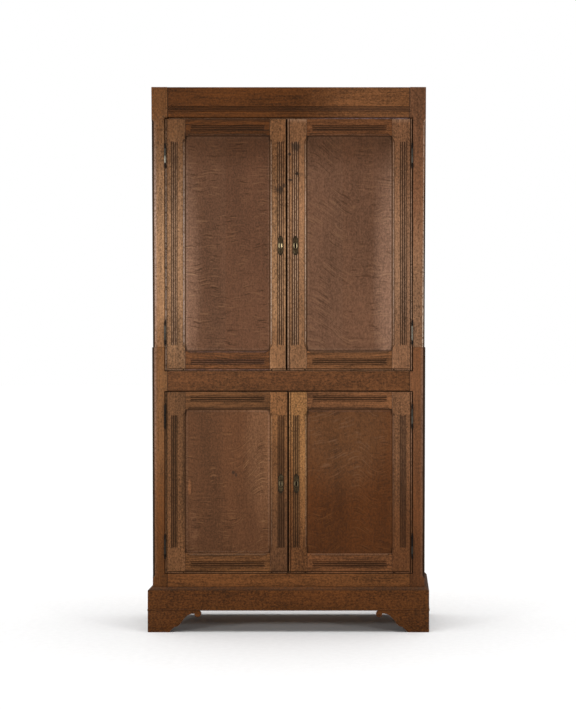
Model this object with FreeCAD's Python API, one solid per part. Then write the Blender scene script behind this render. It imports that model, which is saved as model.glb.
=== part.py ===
"""Four-door oak linen press: a wide lower carcase with a plinth and bracket feet, and a taller
upper carcase that stands on it. Millimetres, X to the right, Y to the back, Z up, with the origin
on the floor under the middle of the whole piece.
"""
import FreeCAD, Part
import math
import os

os.makedirs("parts", exist_ok=True)

# ---- overall sizes ----
lower_half_bottom = 499.0      # half width over the posts at the plinth
lower_lean = 3.0               # how far each lower post leans out up to the seam
upper_setback = 3.0            # the upper posts start this far inside the lower posts
upper_lean = 5.7               # how far each upper post leans out up to its top
post_width = 53.5              # at the plinth
post_depth = 55.0
carcase_depth = 450.0          # post front to the back boards' rear face

# ---- front openings and rails ----
door_rebate = 10.5             # how far a post is cut back in width to let the door in
rail_thickness = 40.0
rail_lip = 10.0                # the rail's rear part reaches this far past its front as a door stop
lower_rail_show = 47.0         # height of the lower rail that shows above the plinth
lower_rail_height = 114.0
lower_opening_height = 671.0
middle_rail_height = 73.5
upper_opening_height = 931.5
top_rail_height = 111.2
post_top_rise = 0.8            # the front posts stand this far above the top rail
seam_above_rail = 87.5         # middle rail to the seam between lower and upper posts
rail_tenon = 28.0
rail_tenon_thickness = 12.0
rail_tenon_shoulder = 10.0     # the tenon is narrower than its rail by this at both edges
rail_edge_chamfer = 5.0
rail_edge_chamfer_height = 2.5
post_top_arris = 3.0

# ---- plinth and feet ----
foot_height = 79.0
bead_height = 5.0
bead_projection = 2.0
bead_strip_width = 55.0
plinth_height = 81.0
plinth_projection = 16.5
plinth_ledge = 4.5
foot_thickness = 20.0
foot_sole = 79.0               # length of the part of a front foot that meets the floor
foot_knob_radius = 12.0
foot_knob_reach = 183.0        # outer corner of a foot to the middle of its round knob
foot_slope_run = 17.0          # from the sole: a slope, a small step, a swell and a long hollow
foot_slope_height = 20.0
foot_step_run = 12.0
foot_step_height = 21.5
foot_swell_run = 11.0
foot_swell_height = 32.5
foot_hollow_height = 68.5
rear_foot_sole = 70.0
foot_block = 42.0

# ---- side frames, boards and shelves ----
side_inset = 3.0               # the side rails lie this far behind the posts' outer faces
side_rail_thickness = 24.0
side_rail_height = 92.0
side_panel_thickness = 9.0
side_groove = 8.0
board_thickness = 20.0
board_above_rail = 8.5         # a floor board's top stands above its rail and stops the doors
top_board_thickness = 18.0
top_board_seat = 12.0
shelf_thickness = 18.0
shelf_setback = 62.0           # post front to a shelf's front edge
shelf_end_gap = 1.5
cleat_size = 20.0
lower_shelf_count = 1
upper_shelf_count = 2
back_board_count = 5
back_board_thickness = 10.0
back_rebate = 14.5
back_board_gap = 0.6
post_stub_width = 20.0         # the square stub under an upper post
post_stub_length = 40.0
fit_gap = 0.05                 # clearance of a joiner's or smith's close fit

# ---- doors ----
door_thickness = 24.0
door_stop_gap = 1.0            # door back to the stops behind it
hinge_side_gap = 3.0
door_bottom_gap = 2.5
upper_door_top_gap = 5.5
lower_door_top_gap = 3.0
edge_bead_width = 4.4
edge_quirk_width = 3.0
edge_quirk_depth = 4.0
bead_below_face = 0.4
hinge_stile_width = 65.4       # flat face, without the bead
upper_left_stile = 58.8
upper_right_stile = 71.5
lower_left_stile = 63.5
lower_right_stile = 67.5
upper_meeting_x = -7.7         # middle of the gap between the two upper doors
upper_meeting_gap = 4.8
lower_meeting_x = -2.1
lower_meeting_gap = 4.6
upper_door_top_rail = 62.5
lower_door_top_rail = 65.0
door_bottom_rail = 65.0
door_tenon = 34.0
door_tenon_thickness = 8.0
door_tenon_shoulder = 12.0
panel_setback = 8.0
panel_thickness = 9.0
panel_groove = 8.0
panel_room = 2.0               # room for the panel to swell in its groove
groove_play = 0.3
panel_bevel = 26.0             # width of the bevel round the back of a panel
panel_edge = 5.0               # thickness left at the panel's edge
panel_tongue_show = 2.0        # the thin edge reaches this far out of its groove
meeting_bead_width = 7.0
meeting_quirk_width = 1.8
lip_notch_from_joint = 3.0
lip_notch_width = 6.5

# ---- stopped chamfers and reeds ----
frame_chamfer = 6.5
frame_chamfer_stop = 15.0
stile_chamfer_start = 11.0     # panel corner to the end of the chamfer on a stile
rail_chamfer_start = 9.0
post_chamfer = 7.0
post_chamfer_stop = 14.0
post_chamfer_foot = 31.0       # plinth to the lower end of the posts' chamfer
post_chamfer_top = 6.0         # its upper end, below the top rail's lower edge
reed_count = 3
reed_steps = 5                 # flat steps that make up a reed's round
bead_steps = 6                 # the same for a half-round bead
stop_steps = 4                 # the same for the hollow end of a chamfer
reed_pitch = 7.1
reed_depth = 2.9
reed_below_face = 0.4
quirk_floor = 0.9
hinge_stile_reed_in = 25.5     # face edge to the middle of a hinge stile's reeds
upper_left_reed_in = 20.0      # meeting edge to the middle of a meeting stile's reeds
upper_right_reed_in = 30.3
lower_left_reed_in = 24.4
lower_right_reed_in = 28.1
stile_reed_end = 20.5          # panel opening's end to the end of the stile's reeds
rail_reed_end = 20.0
upper_door_rail_reed_z = 28.5  # panel opening to the middle of the top rail's reeds
lower_door_rail_reed_z = 40.5
bottom_rail_reed_z = 40.2      # panel opening down to the middle of the bottom rail's reeds
top_band_rise = 31.4           # top rail's lower edge to the middle of its reeds
top_band_pitch = 6.7

# ---- hinges ----
knuckle_radius = 3.75
knuckle_length = 53.0
knuckle_stand_off = 0.45
knuckle_sides = 16
knuckle_gap = 0.15             # half the gap between the two halves of a barrel
hinge_axis_in = 1.0            # from the middle of the hinge-side gap towards the door
finial_length = 23.0
finial_waist = 0.72            # radius of the finial's waist and swell, as a share of the barrel's
finial_swell = 0.92
finial_waist_rise = 0.08       # their places along the finial, as a share of its length
finial_swell_rise = 0.34
leaf_thickness = 1.2
leaf_width = 20.0
hinge_pin_radius = 1.7
hinge_pin_reach = 20.0
upper_hinge_from_top = 140.5   # opening's edge to the middle of a hinge
upper_hinge_from_bottom = 140.0
lower_hinge_from_top = 92.5
lower_hinge_from_bottom = 100.5

# ---- locks, keyhole plates and bolts ----
upper_keyhole_rise = 460.5     # opening's lower edge to the middle of a keyhole plate
lower_keyhole_rise = 331.0
plate_half_height = 35.5
plate_half_width = 11.0
plate_shoulder_half_width = 8.0
plate_lobe_half_width = 9.7
plate_tip_half_width = 6.0
plate_shoulder_rise = 0.53     # places of shoulder, lobe and tip, as a share of the half height
plate_lobe_rise = 0.70
plate_tip_rise = 0.86
plate_steps = 4
plate_thickness = 1.8
plate_ring_height = 1.4
keyhole_radius = 2.5
keyhole_slot = 3.2
keyhole_drop = 11.0
plate_ring_half_width = 7.4
plate_ring_half_height = 11.8
plate_ring_width = 2.2
lock_width = 52.0
lock_height = 70.0
lock_depth = 13.0
lock_wall = 2.0
lock_bolt_height = 16.0
lock_bolt_thickness = 5.0
lock_bolt_length = 34.0
slide_clearance = 0.25
keeper_length = 14.0
slide_bolt_width = 10.0
slide_bolt_thickness = 5.0
slide_bolt_knob_radius = 4.5
slide_bolt_knob_sides = 10
slide_bolt_knob_length = 9.0
slide_bolt_length = 120.0
slide_bolt_throw = 12.0
slide_bolt_from_edge = 42.0
slide_bolt_stand_off = 1.0
staple_width = 8.0
staple_wall = 2.2
staple_from_end = 8.0          # end of a slide bolt to the nearer edge of a staple
bolt_end_gap = 2.0
bolt_socket_room = 2.0         # a bolt's hole is this much deeper than the bolt reaches
bolt_plate_thickness = 1.5
bolt_plate_side = 3.0
bolt_plate_end = 5.0

# ---- places worked out from the sizes above ----
lower_half_top = lower_half_bottom + lower_lean
upper_half_bottom = lower_half_top - upper_setback
upper_half_top = upper_half_bottom + upper_lean
post_face_half = lower_half_bottom - post_width
total_depth = carcase_depth + plinth_projection + bead_projection
front_y = -total_depth / 2 + plinth_projection + bead_projection
back_y = total_depth / 2
bead_top_z = foot_height + bead_height
plinth_top_z = bead_top_z + plinth_height
lower_rail_top = plinth_top_z + lower_rail_show
middle_rail_bottom = lower_rail_top + lower_opening_height
middle_rail_top = middle_rail_bottom + middle_rail_height
top_rail_bottom = middle_rail_top + upper_opening_height
top_rail_top = top_rail_bottom + top_rail_height
post_top_z = top_rail_top + post_top_rise
seam_z = middle_rail_top + seam_above_rail
top_band_z = top_rail_bottom + top_band_rise
plinth_half = lower_half_bottom + plinth_projection
stop_y = front_y + door_thickness + door_stop_gap
door_back_y = front_y + door_thickness
door_edge_x = post_face_half + door_rebate - hinge_side_gap
door_face_x = door_edge_x - edge_bead_width - edge_quirk_width
stile_inner_x = door_face_x - hinge_stile_width
hinge_x = door_edge_x + hinge_side_gap / 2 - hinge_axis_in
hinge_y = front_y - knuckle_radius - knuckle_stand_off
upper_floor_z = middle_rail_top + board_above_rail
lower_floor_z = lower_rail_top + board_above_rail
rear_post_front_y = back_y - post_depth
front_post_back_y = front_y + post_depth
bolt_y = door_back_y + bolt_plate_thickness + slide_bolt_stand_off + slide_bolt_thickness / 2
lock_bolt_y = door_back_y + lock_depth / 2

V = FreeCAD.Vector
cutter_overrun = 1.0           # how far a cutter stands clear of the face it is cut into
X_AXIS = V(1, 0, 0)
Y_AXIS = V(0, 1, 0)
Z_AXIS = V(0, 0, 1)


# ---- plain shapes ----
def block(x_pair, y_pair, z_pair):
    """A block between two X, two Y and two Z values, each pair in any order."""
    x0, x1 = sorted(x_pair)
    y0, y1 = sorted(y_pair)
    z0, z1 = sorted(z_pair)
    return Part.makeBox(x1 - x0, y1 - y0, z1 - z0, V(x0, y0, z0))


def prism(points, run):
    """The flat outline through the points, carried along the vector run."""
    outline = Part.makePolygon(points + [points[0]])
    return Part.Face(outline).extrude(run)


def stepped_arc(start, middle, end, steps):
    """Points a number of equal steps apart on the arc through three points, ends included."""
    return Part.Arc(start, middle, end).toShape().discretize(steps + 1)


def rod(base, direction, radius, length):
    """A round bar."""
    return Part.makeCylinder(radius, length, base, direction)


def placed(shape, origin, x_dir, y_dir):
    """The shape moved so that its own X and Y point along x_dir and y_dir."""
    z_dir = x_dir.cross(y_dir)
    turn = FreeCAD.Matrix(x_dir.x, y_dir.x, z_dir.x, origin.x,
                          x_dir.y, y_dir.y, z_dir.y, origin.y,
                          x_dir.z, y_dir.z, z_dir.z, origin.z,
                          0, 0, 0, 1)
    moved = shape.copy()
    moved.Placement = FreeCAD.Placement(turn)
    return moved


def carve(blank, cutters):
    """The blank with every cutter taken out of it."""
    for cutter in cutters:
        blank = blank.cut(cutter)
    return blank


def group(solids):
    """Several separate solids in one node."""
    return Part.makeCompound(solids)


def export(name, shape):
    """Write one node's STEP file."""
    shape.exportStep("parts/" + name + ".step")


# ---- cutters for the mouldings ----
def reed_cutter(length, pitch=reed_pitch):
    """What a reeding plane takes away: round reeds side by side between narrow quirks, sunk just
    under the face. It runs along +Z, centred on X = 0, and goes into the wood along +Y."""
    half = reed_count * pitch / 2
    points = [V(-half, -cutter_overrun, 0), V(-half, reed_depth, 0)]
    for number in range(reed_count):
        left = -half + number * pitch + quirk_floor / 2
        right = left + pitch - quirk_floor
        points.extend(stepped_arc(V(left, reed_depth, 0),
                                  V((left + right) / 2, reed_below_face, 0),
                                  V(right, reed_depth, 0), reed_steps))
    points.append(V(half, reed_depth, 0))
    points.append(V(half, -cutter_overrun, 0))
    return prism(points, V(0, 0, length))


def bead_cutter(quirk, bead, length):
    """What is cut away to leave a round bead beside a quirk. X runs from the flat face across the
    quirk to the far side of the bead, +Y goes into the wood and the cutter runs along +Z."""
    shoulder = bead_below_face + bead / 2
    end = quirk + bead
    points = [V(0, -cutter_overrun, 0), V(0, edge_quirk_depth, 0), V(quirk, edge_quirk_depth, 0)]
    points.extend(stepped_arc(V(quirk, shoulder, 0), V(quirk + bead / 2, bead_below_face, 0),
                              V(end, shoulder, 0), bead_steps))
    points.append(V(end + cutter_overrun, shoulder, 0))
    points.append(V(end + cutter_overrun, -cutter_overrun, 0))
    return prism(points, V(0, 0, length))


def stopped_chamfer(start, end, into_a, into_b, size, stop):
    """A chamfer along the arris from start to end that runs out at both ends in a hollow curve.
    into_a and into_b point into the wood along the two faces that meet at the arris."""
    along = end - start
    length = along.Length
    along.normalize()
    inward = into_a + into_b
    inward.normalize()
    depth = size / math.sqrt(2)
    radius = (stop ** 2 + depth ** 2) / (2 * depth)
    half_turn = math.atan2(stop, radius - depth) / 2
    mid_depth = depth - radius + radius * math.cos(half_turn)
    mid_run = stop - radius * math.sin(half_turn)
    points = stepped_arc(V(0, 0, 0), V(mid_depth, mid_run, 0), V(depth, stop, 0), stop_steps)
    points.extend(stepped_arc(V(depth, length - stop, 0), V(mid_depth, length - mid_run, 0),
                              V(0, length, 0), stop_steps))
    points.append(V(-size, length, 0))
    points.append(V(-size, 0, 0))
    cutter = prism(points, V(0, 0, 4 * size))
    cutter.translate(V(0, 0, -2 * size))
    return placed(cutter, start, inward, along)


# ---- plinth and feet ----
def mitre_plan(half, front, depth, z_pair):
    """Plan of a front board mitred at both ends, as a prism between two heights."""
    points = [
        V(-half, front, z_pair[0]),
        V(half, front, z_pair[0]),
        V(half - depth, front + depth, z_pair[0]),
        V(-half + depth, front + depth, z_pair[0]),
    ]
    return prism(points, V(0, 0, z_pair[1] - z_pair[0]))


def plinth_profile(across, outward, origin):
    """Section of the plinth board: a flat face with a wide bevel above it."""
    face = origin + outward * plinth_projection
    ledge = origin + outward * plinth_ledge
    bevel_z = plinth_top_z - (plinth_projection - plinth_ledge)
    points = [
        V(origin.x, origin.y, bead_top_z),
        V(face.x, face.y, bead_top_z),
        V(face.x, face.y, bevel_z),
        V(ledge.x, ledge.y, plinth_top_z),
        V(origin.x, origin.y, plinth_top_z),
    ]
    return prism(points, across)


def plinth_front():
    """The board across the front of the plinth, mitred to the side boards."""
    start = V(-plinth_half, front_y, 0)
    board = plinth_profile(X_AXIS * 2 * plinth_half, -Y_AXIS, start)
    plan = mitre_plan(plinth_half, front_y - plinth_projection, plinth_projection,
                      (bead_top_z, plinth_top_z))
    return board.common(plan)


def plinth_side(side):
    """A side board of the plinth, mitred in front and square at the back."""
    start = V(side * lower_half_bottom, front_y - plinth_projection, 0)
    run = Y_AXIS * (back_y - front_y + plinth_projection)
    board = plinth_profile(run, X_AXIS * side, start)
    mitre = prism([
        V(side * plinth_half, front_y - plinth_projection, bead_top_z - 1),
        V(side * lower_half_bottom, front_y, bead_top_z - 1),
        V(side * (lower_half_bottom - plinth_projection), front_y, bead_top_z - 1),
        V(side * (lower_half_bottom - plinth_projection), front_y - plinth_projection,
          bead_top_z - 1),
    ], V(0, 0, plinth_height + 2))
    return board.cut(mitre)


def bead_strip(width, run, outward, start):
    """A flat strip with a half-round nose, as long as the vector run."""
    z_low = foot_height
    z_high = bead_top_z
    nose = bead_height / 2
    inner = -outward * width
    low_in = V(start.x + inner.x, start.y + inner.y, z_low)
    high_in = V(start.x + inner.x, start.y + inner.y, z_high)
    low_out = V(start.x - outward.x * nose, start.y - outward.y * nose, z_low)
    high_out = V(start.x - outward.x * nose, start.y - outward.y * nose, z_high)
    tip = V(start.x, start.y, (z_low + z_high) / 2)
    points = [low_in] + stepped_arc(low_out, tip, high_out, bead_steps) + [high_in]
    return prism(points, run)


def plinth_bead():
    """The mitred frame between the plinth and the feet, with a bead showing on three sides."""
    half = plinth_half + bead_projection
    front = front_y - plinth_projection - bead_projection
    z_pair = (foot_height, bead_top_z)
    strip = bead_strip(bead_strip_width, X_AXIS * 2 * half, -Y_AXIS, V(-half, front, 0))
    solids = [strip.common(mitre_plan(half, front, bead_strip_width, z_pair))]
    for side in (-1, 1):
        start = V(side * half, front, 0)
        strip = bead_strip(bead_strip_width, Y_AXIS * (back_y - front), X_AXIS * side, start)
        mitre = prism([
            V(side * half, front, foot_height - 1),
            V(side * (half - bead_strip_width), front + bead_strip_width, foot_height - 1),
            V(side * (half - bead_strip_width - 1), front + bead_strip_width, foot_height - 1),
            V(side * (half - bead_strip_width - 1), front, foot_height - 1),
        ], V(0, 0, bead_height + 2))
        solids.append(strip.cut(mitre))
    return group(solids)


def bracket_board(sole, place, inward):
    """The board of a bracket foot. place(reach, height) turns a distance along the plinth from
    the outer corner, and a height, into a point; inward is the board's thickness."""
    slope_end = sole + foot_slope_run
    step_end = slope_end + foot_step_run
    swell_end = step_end + foot_swell_run
    neck = foot_knob_reach - foot_knob_radius
    hollow_run = neck - swell_end
    knob_z = foot_height - foot_knob_radius
    swell = stepped_arc(
        place(step_end, foot_step_height),
        place(step_end + foot_swell_run * 0.65,
              foot_step_height + (foot_swell_height - foot_step_height) * 0.35),
        place(swell_end, foot_swell_height), 3)
    hollow = stepped_arc(
        place(swell_end, foot_swell_height),
        place(swell_end + hollow_run * 0.35,
              foot_swell_height + (foot_hollow_height - foot_swell_height) * 0.62),
        place(neck, foot_hollow_height), 5)
    round_knob = stepped_arc(
        place(neck, knob_z), place(foot_knob_reach, knob_z - foot_knob_radius),
        place(foot_knob_reach + foot_knob_radius, knob_z), 8)
    upper_knob = stepped_arc(
        place(foot_knob_reach + foot_knob_radius, knob_z),
        place(foot_knob_reach + foot_knob_radius * math.sqrt(0.5),
              knob_z + foot_knob_radius * math.sqrt(0.5)),
        place(foot_knob_reach, foot_height), 4)
    points = [place(0, foot_height), place(0, 0), place(sole, 0),
              place(slope_end, foot_slope_height)]
    points.extend(swell)
    points.extend(hollow[1:])
    points.extend(round_knob[1:])
    points.extend(upper_knob[1:])
    return prism(points, inward)


def front_bracket(side):
    """The front board of a front foot, with its round knob, mitred at the corner."""
    face_y = front_y - plinth_projection

    def place(reach, height):
        return V(side * (plinth_half - reach), face_y, height)

    board = bracket_board(foot_sole, place, Y_AXIS * foot_thickness)
    inner = plinth_half - foot_thickness
    mitre = prism([
        V(side * plinth_half, face_y, -1),
        V(side * inner, face_y + foot_thickness, -1),
        V(side * (plinth_half + 1), face_y + foot_thickness, -1),
        V(side * (plinth_half + 1), face_y, -1),
    ], V(0, 0, foot_height + 2))
    return board.cut(mitre)


def side_bracket(side, sole, from_y, run):
    """A side board of a foot, starting at from_y and shaped along run (+1 back, -1 front)."""

    def place(reach, height):
        return V(side * plinth_half, from_y + run * reach, height)

    return bracket_board(sole, place, V(-side * foot_thickness, 0, 0))


def front_foot(side):
    """A front foot: two mitred brackets and the block glued in their corner."""
    face_y = front_y - plinth_projection
    returned = side_bracket(side, foot_sole, face_y, 1)
    mitre = prism([
        V(side * plinth_half, face_y, -1),
        V(side * (plinth_half - foot_thickness), face_y + foot_thickness, -1),
        V(side * (plinth_half - foot_thickness - 1), face_y + foot_thickness, -1),
        V(side * (plinth_half - foot_thickness - 1), face_y, -1),
    ], V(0, 0, foot_height + 2))
    returned = returned.cut(mitre)
    inner_x = side * (plinth_half - foot_thickness)
    inner_y = face_y + foot_thickness
    glue_block = block((inner_x, inner_x - side * foot_block), (inner_y, inner_y + foot_block),
                       (0, foot_height))
    return group([front_bracket(side), returned, glue_block])


def rear_feet():
    """The rear feet: a side bracket and a block behind it on each side."""
    solids = []
    for side in (-1, 1):
        solids.append(side_bracket(side, rear_foot_sole, back_y, -1))
        inner_x = side * (plinth_half - foot_thickness)
        solids.append(block((inner_x, inner_x - side * foot_block),
                            (back_y - foot_block, back_y), (0, foot_height)))
    return group(solids)


# ---- posts ----
def outer_half(z, upper):
    """Half width over the posts at a height. They are upright behind the plinth and lean out a
    little above it."""
    if upper:
        low, high = upper_half_bottom, upper_half_top
        share = (z - seam_z) / (post_top_z - seam_z)
    else:
        low, high = lower_half_bottom, lower_half_top
        share = max(0.0, (z - plinth_top_z) / (seam_z - plinth_top_z))
    return low + (high - low) * share


def post_blank(side, upper, y_pair, top_z):
    """A square post, its outer face leaning out a little towards its top."""
    heights = [seam_z, top_z] if upper else [bead_top_z, plinth_top_z, top_z]
    points = [V(side * outer_half(z, upper), y_pair[0], z) for z in heights]
    points.append(V(side * post_face_half, y_pair[0], heights[-1]))
    points.append(V(side * post_face_half, y_pair[0], heights[0]))
    return prism(points, V(0, y_pair[1] - y_pair[0], 0))


def door_opening_cut(side, z_pair):
    """What is cut from a front post to let the doors lie flush in it."""
    return block((side * (post_face_half - 1), side * (post_face_half + door_rebate)),
                 (front_y - 1, stop_y), z_pair)


def rail_mortise(side, z_pair, length, thickness, play=0.0):
    """The tenon of a front rail in its post; with some play it is the mortise."""
    middle_y = front_y + rail_thickness / 2
    half = thickness / 2 + play
    return block((side * (post_face_half - play), side * (post_face_half + length + play)),
                 (middle_y - half, middle_y + half), (z_pair[0] - play, z_pair[1] + play))


def rail_tenon_heights(z_low, z_high):
    """Bottom and top of a rail's tenon, clear of the rail's lip and seat."""
    return z_low + rail_tenon_shoulder, z_high - rail_tenon_shoulder - rail_lip


def post_stub(side, y, upper):
    """The square stub under an upper post, or the mortise for it in the lower post."""
    play = 0.0 if upper else fit_gap
    half = post_stub_width / 2 + play
    x = side * (post_face_half + upper_half_bottom) / 2
    return block((x - half, x + half), (y - half, y + half),
                 (seam_z, seam_z - post_stub_length - play))


def hinge_heights(upper):
    """Middle heights of the two hinges of a door."""
    if upper:
        return top_rail_bottom - upper_hinge_from_top, middle_rail_top + upper_hinge_from_bottom
    return middle_rail_bottom - lower_hinge_from_top, lower_rail_top + lower_hinge_from_bottom


def leaf_recess(side, middle_z):
    """The shallow bed for a hinge leaf in a post."""
    wall = post_face_half + door_rebate
    half = knuckle_length / 2
    return block((side * (wall - 1), side * (wall + leaf_thickness)),
                 (front_y - 1, front_y + leaf_width), (middle_z - half, middle_z + half))


def side_rail_groove(side, upper, y_pair, z_pair):
    """Groove in a post for the side panel."""
    middle_x = side_panel_x(upper)
    half = side_panel_thickness / 2 + groove_play / 2
    return block((side * (middle_x - half), side * (middle_x + half)), y_pair, z_pair)


def side_panel_x(upper):
    """Middle of a side panel's thickness, as a half width."""
    outer = upper_half_bottom if upper else lower_half_bottom
    return outer - side_inset - side_rail_thickness / 2


def front_post(side, upper):
    """A front post with its door rebate, outer chamfer, mortises, panel groove and hinge beds."""
    y_pair = (front_y, front_post_back_y)
    groove_y = (front_post_back_y - side_groove, front_post_back_y + 1)
    stub_y = (front_y + front_post_back_y) / 2
    if upper:
        post = post_blank(side, upper, y_pair, post_top_z)
        cuts = [door_opening_cut(side, (seam_z - 1, top_rail_bottom))]
        tenon_z = rail_tenon_heights(top_rail_bottom, top_rail_top)
        cuts.append(rail_mortise(side, tenon_z, rail_tenon, rail_tenon_thickness, fit_gap))
        cuts.append(side_rail_groove(side, upper, groove_y, side_panel_heights(upper)))
        chamfer_z = (seam_z - post_chamfer_stop, top_rail_bottom - post_chamfer_top)
    else:
        post = post_blank(side, upper, y_pair, seam_z)
        cuts = [door_opening_cut(side, (lower_rail_top, middle_rail_bottom)),
                door_opening_cut(side, (middle_rail_top, seam_z + 1)),
                post_stub(side, stub_y, upper)]
        low_z = rail_tenon_heights(lower_rail_top - lower_rail_height, lower_rail_top)
        middle_z = rail_tenon_heights(middle_rail_bottom, middle_rail_top)
        for tenon_z in (low_z, middle_z):
            cuts.append(rail_mortise(side, tenon_z, rail_tenon, rail_tenon_thickness, fit_gap))
        cuts.append(side_rail_groove(side, upper, groove_y, side_panel_heights(upper)))
        chamfer_z = (plinth_top_z + post_chamfer_foot, seam_z + post_chamfer_stop)
    start = V(side * outer_half(chamfer_z[0], upper), front_y, chamfer_z[0])
    end = V(side * outer_half(chamfer_z[1], upper), front_y, chamfer_z[1])
    cuts.append(stopped_chamfer(start, end, V(-side, 0, 0), Y_AXIS, post_chamfer,
                                post_chamfer_stop))
    for middle_z in hinge_heights(upper):
        cuts.append(leaf_recess(side, middle_z))
    post = carve(post, cuts)
    if upper:
        post = post.fuse(post_stub(side, stub_y, upper)).removeSplitter()
        arris = prism([
            V(side * upper_half_top, front_y - 1, post_top_z),
            V(side * (upper_half_top - post_top_arris), front_y - 1, post_top_z),
            V(side * upper_half_top, front_y - 1, post_top_z - post_top_arris),
        ], V(0, post_depth + 2, 0))
        post = post.cut(arris)
    return post


def rear_posts():
    """The four rear posts, rebated for the back boards and grooved for the side panels."""
    solids = []
    y_pair = (rear_post_front_y, back_y)
    groove_y = (rear_post_front_y - 1, rear_post_front_y + side_groove)
    stub_y = (rear_post_front_y + back_y) / 2
    back_cut_y = (back_y - back_board_thickness, back_y + 1)
    for side in (-1, 1):
        back_cut_x = (side * (post_face_half - 1), side * (post_face_half + back_rebate))
        lower = post_blank(side, False, y_pair, seam_z)
        lower = carve(lower, [
            side_rail_groove(side, False, groove_y, side_panel_heights(False)),
            block(back_cut_x, back_cut_y, (bead_top_z - 1, seam_z + 1)),
            post_stub(side, stub_y, False),
        ])
        upper = post_blank(side, True, y_pair, top_rail_top)
        upper = carve(upper, [
            side_rail_groove(side, True, groove_y, side_panel_heights(True)),
            block(back_cut_x, back_cut_y, (seam_z - 1, top_rail_top + 1)),
        ])
        upper = upper.fuse(post_stub(side, stub_y, True)).removeSplitter()
        solids.extend([lower, upper])
    return group(solids)


# ---- rails, side frames and boards of the carcases ----
def front_rail(z_low, z_high, lip_below, seat_z):
    """A front rail with its tenons. Its rear part reaches below its front as a door stop, and is
    cut down to seat_z where a floor board lies on it."""
    seat_low = z_low - rail_lip if lip_below else z_low
    profile = [
        V(-post_face_half, front_y, z_low),
        V(-post_face_half, front_y, z_high),
        V(-post_face_half, stop_y, z_high),
        V(-post_face_half, stop_y, seat_z),
        V(-post_face_half, front_y + rail_thickness, seat_z),
        V(-post_face_half, front_y + rail_thickness, seat_low),
        V(-post_face_half, stop_y, seat_low),
    ]
    if lip_below:
        profile.append(V(-post_face_half, stop_y, z_low))
    rail = prism(profile, X_AXIS * 2 * post_face_half)
    tenon_z = rail_tenon_heights(z_low, z_high)
    for side in (-1, 1):
        rail = rail.fuse(rail_mortise(side, tenon_z, rail_tenon, rail_tenon_thickness))
    return rail.removeSplitter()


def bolt_bar(x, z_pair, grow):
    """A slide bolt's flat bar between two heights; grown a little it is the room for the bar."""
    half_x = slide_bolt_width / 2 + grow
    half_y = slide_bolt_thickness / 2 + grow
    return block((x - half_x, x + half_x), (bolt_y - half_y, bolt_y + half_y), z_pair)


def bolt_socket(tier, direction):
    """The hole that a slide bolt shoots into, above or below a left door."""
    sizes = door_sizes(tier, -1)
    x = sizes["meeting"] - slide_bolt_from_edge
    depth = slide_bolt_throw + bolt_socket_room
    if direction > 0:
        mouth = sizes["opening_top"] - rail_lip
    else:
        mouth = sizes["floor"]
    return bolt_bar(x, (mouth - direction, mouth + direction * depth), 2 * slide_clearance)


def lower_arris(z_low):
    """The small chamfer along the lower front arris of a rail."""
    size = rail_edge_chamfer
    start = -post_face_half
    return prism([
        V(start, front_y - 1, z_low - 1),
        V(start, front_y - 1, z_low + rail_edge_chamfer_height),
        V(start, front_y, z_low + rail_edge_chamfer_height),
        V(start, front_y + size, z_low),
        V(start, front_y + size, z_low - 1),
    ], X_AXIS * 2 * post_face_half)


def top_rail():
    """The wide rail over the upper doors, with a band of reeds along its whole length."""
    rail = front_rail(top_rail_bottom, top_rail_top, True, top_rail_top - top_board_thickness - 2)
    reeds = reed_cutter(2 * post_face_half, top_band_pitch)
    reeds = placed(reeds, V(-post_face_half, front_y, top_band_z), -Z_AXIS, Y_AXIS)
    return carve(rail, [reeds, bolt_socket("upper", 1), lower_arris(top_rail_bottom)])


def middle_rail():
    """The rail between the lower and the upper doors."""
    rail = front_rail(middle_rail_bottom, middle_rail_top, True, upper_floor_z - board_thickness)
    return carve(rail, [bolt_socket("lower", 1), lower_arris(middle_rail_bottom)])


def lower_rail():
    """The rail under the lower doors; its lower part is behind the plinth."""
    return front_rail(lower_rail_top - lower_rail_height, lower_rail_top, False,
                      lower_floor_z - board_thickness)


def side_rail_heights(upper):
    """Bottom and top of the two rails of a side frame."""
    if upper:
        low = (seam_z, seam_z + side_rail_height)
        high = (top_rail_top - side_rail_height, top_rail_top)
    else:
        low = (bead_top_z, lower_rail_top + board_above_rail)
        high = (seam_z - side_rail_height, seam_z)
    return low, high


def side_panel_heights(upper):
    """Bottom and top of a side panel, in its grooves."""
    low, high = side_rail_heights(upper)
    return low[1] - side_groove, high[0] + side_groove


def side_rails():
    """The rails that join the front and rear posts on both sides of both carcases."""
    solids = []
    for upper in (False, True):
        outer = (upper_half_bottom if upper else lower_half_bottom) - side_inset
        panel_z = side_panel_heights(upper)
        for side in (-1, 1):
            groove = side_rail_groove(side, upper, (front_post_back_y - 1, rear_post_front_y + 1),
                                      panel_z)
            for z_pair in side_rail_heights(upper):
                rail = block((side * outer, side * (outer - side_rail_thickness)),
                             (front_post_back_y, rear_post_front_y), z_pair)
                solids.append(rail.cut(groove))
    return group([cut_top_seat(rail) for rail in solids])


def cut_top_seat(rail):
    """The upper side rails are cut down inside to carry the top board."""
    return rail.cut(top_board_blank())


def side_panels():
    """The four thin panels in the side frames."""
    solids = []
    for upper in (False, True):
        low, high = side_panel_heights(upper)
        middle_x = side_panel_x(upper)
        half = side_panel_thickness / 2
        for side in (-1, 1):
            solids.append(block(
                (side * (middle_x - half), side * (middle_x + half)),
                (front_post_back_y - side_groove + panel_room,
                 rear_post_front_y + side_groove - panel_room),
                (low + panel_room, high - panel_room)))
    return group(solids)


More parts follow.
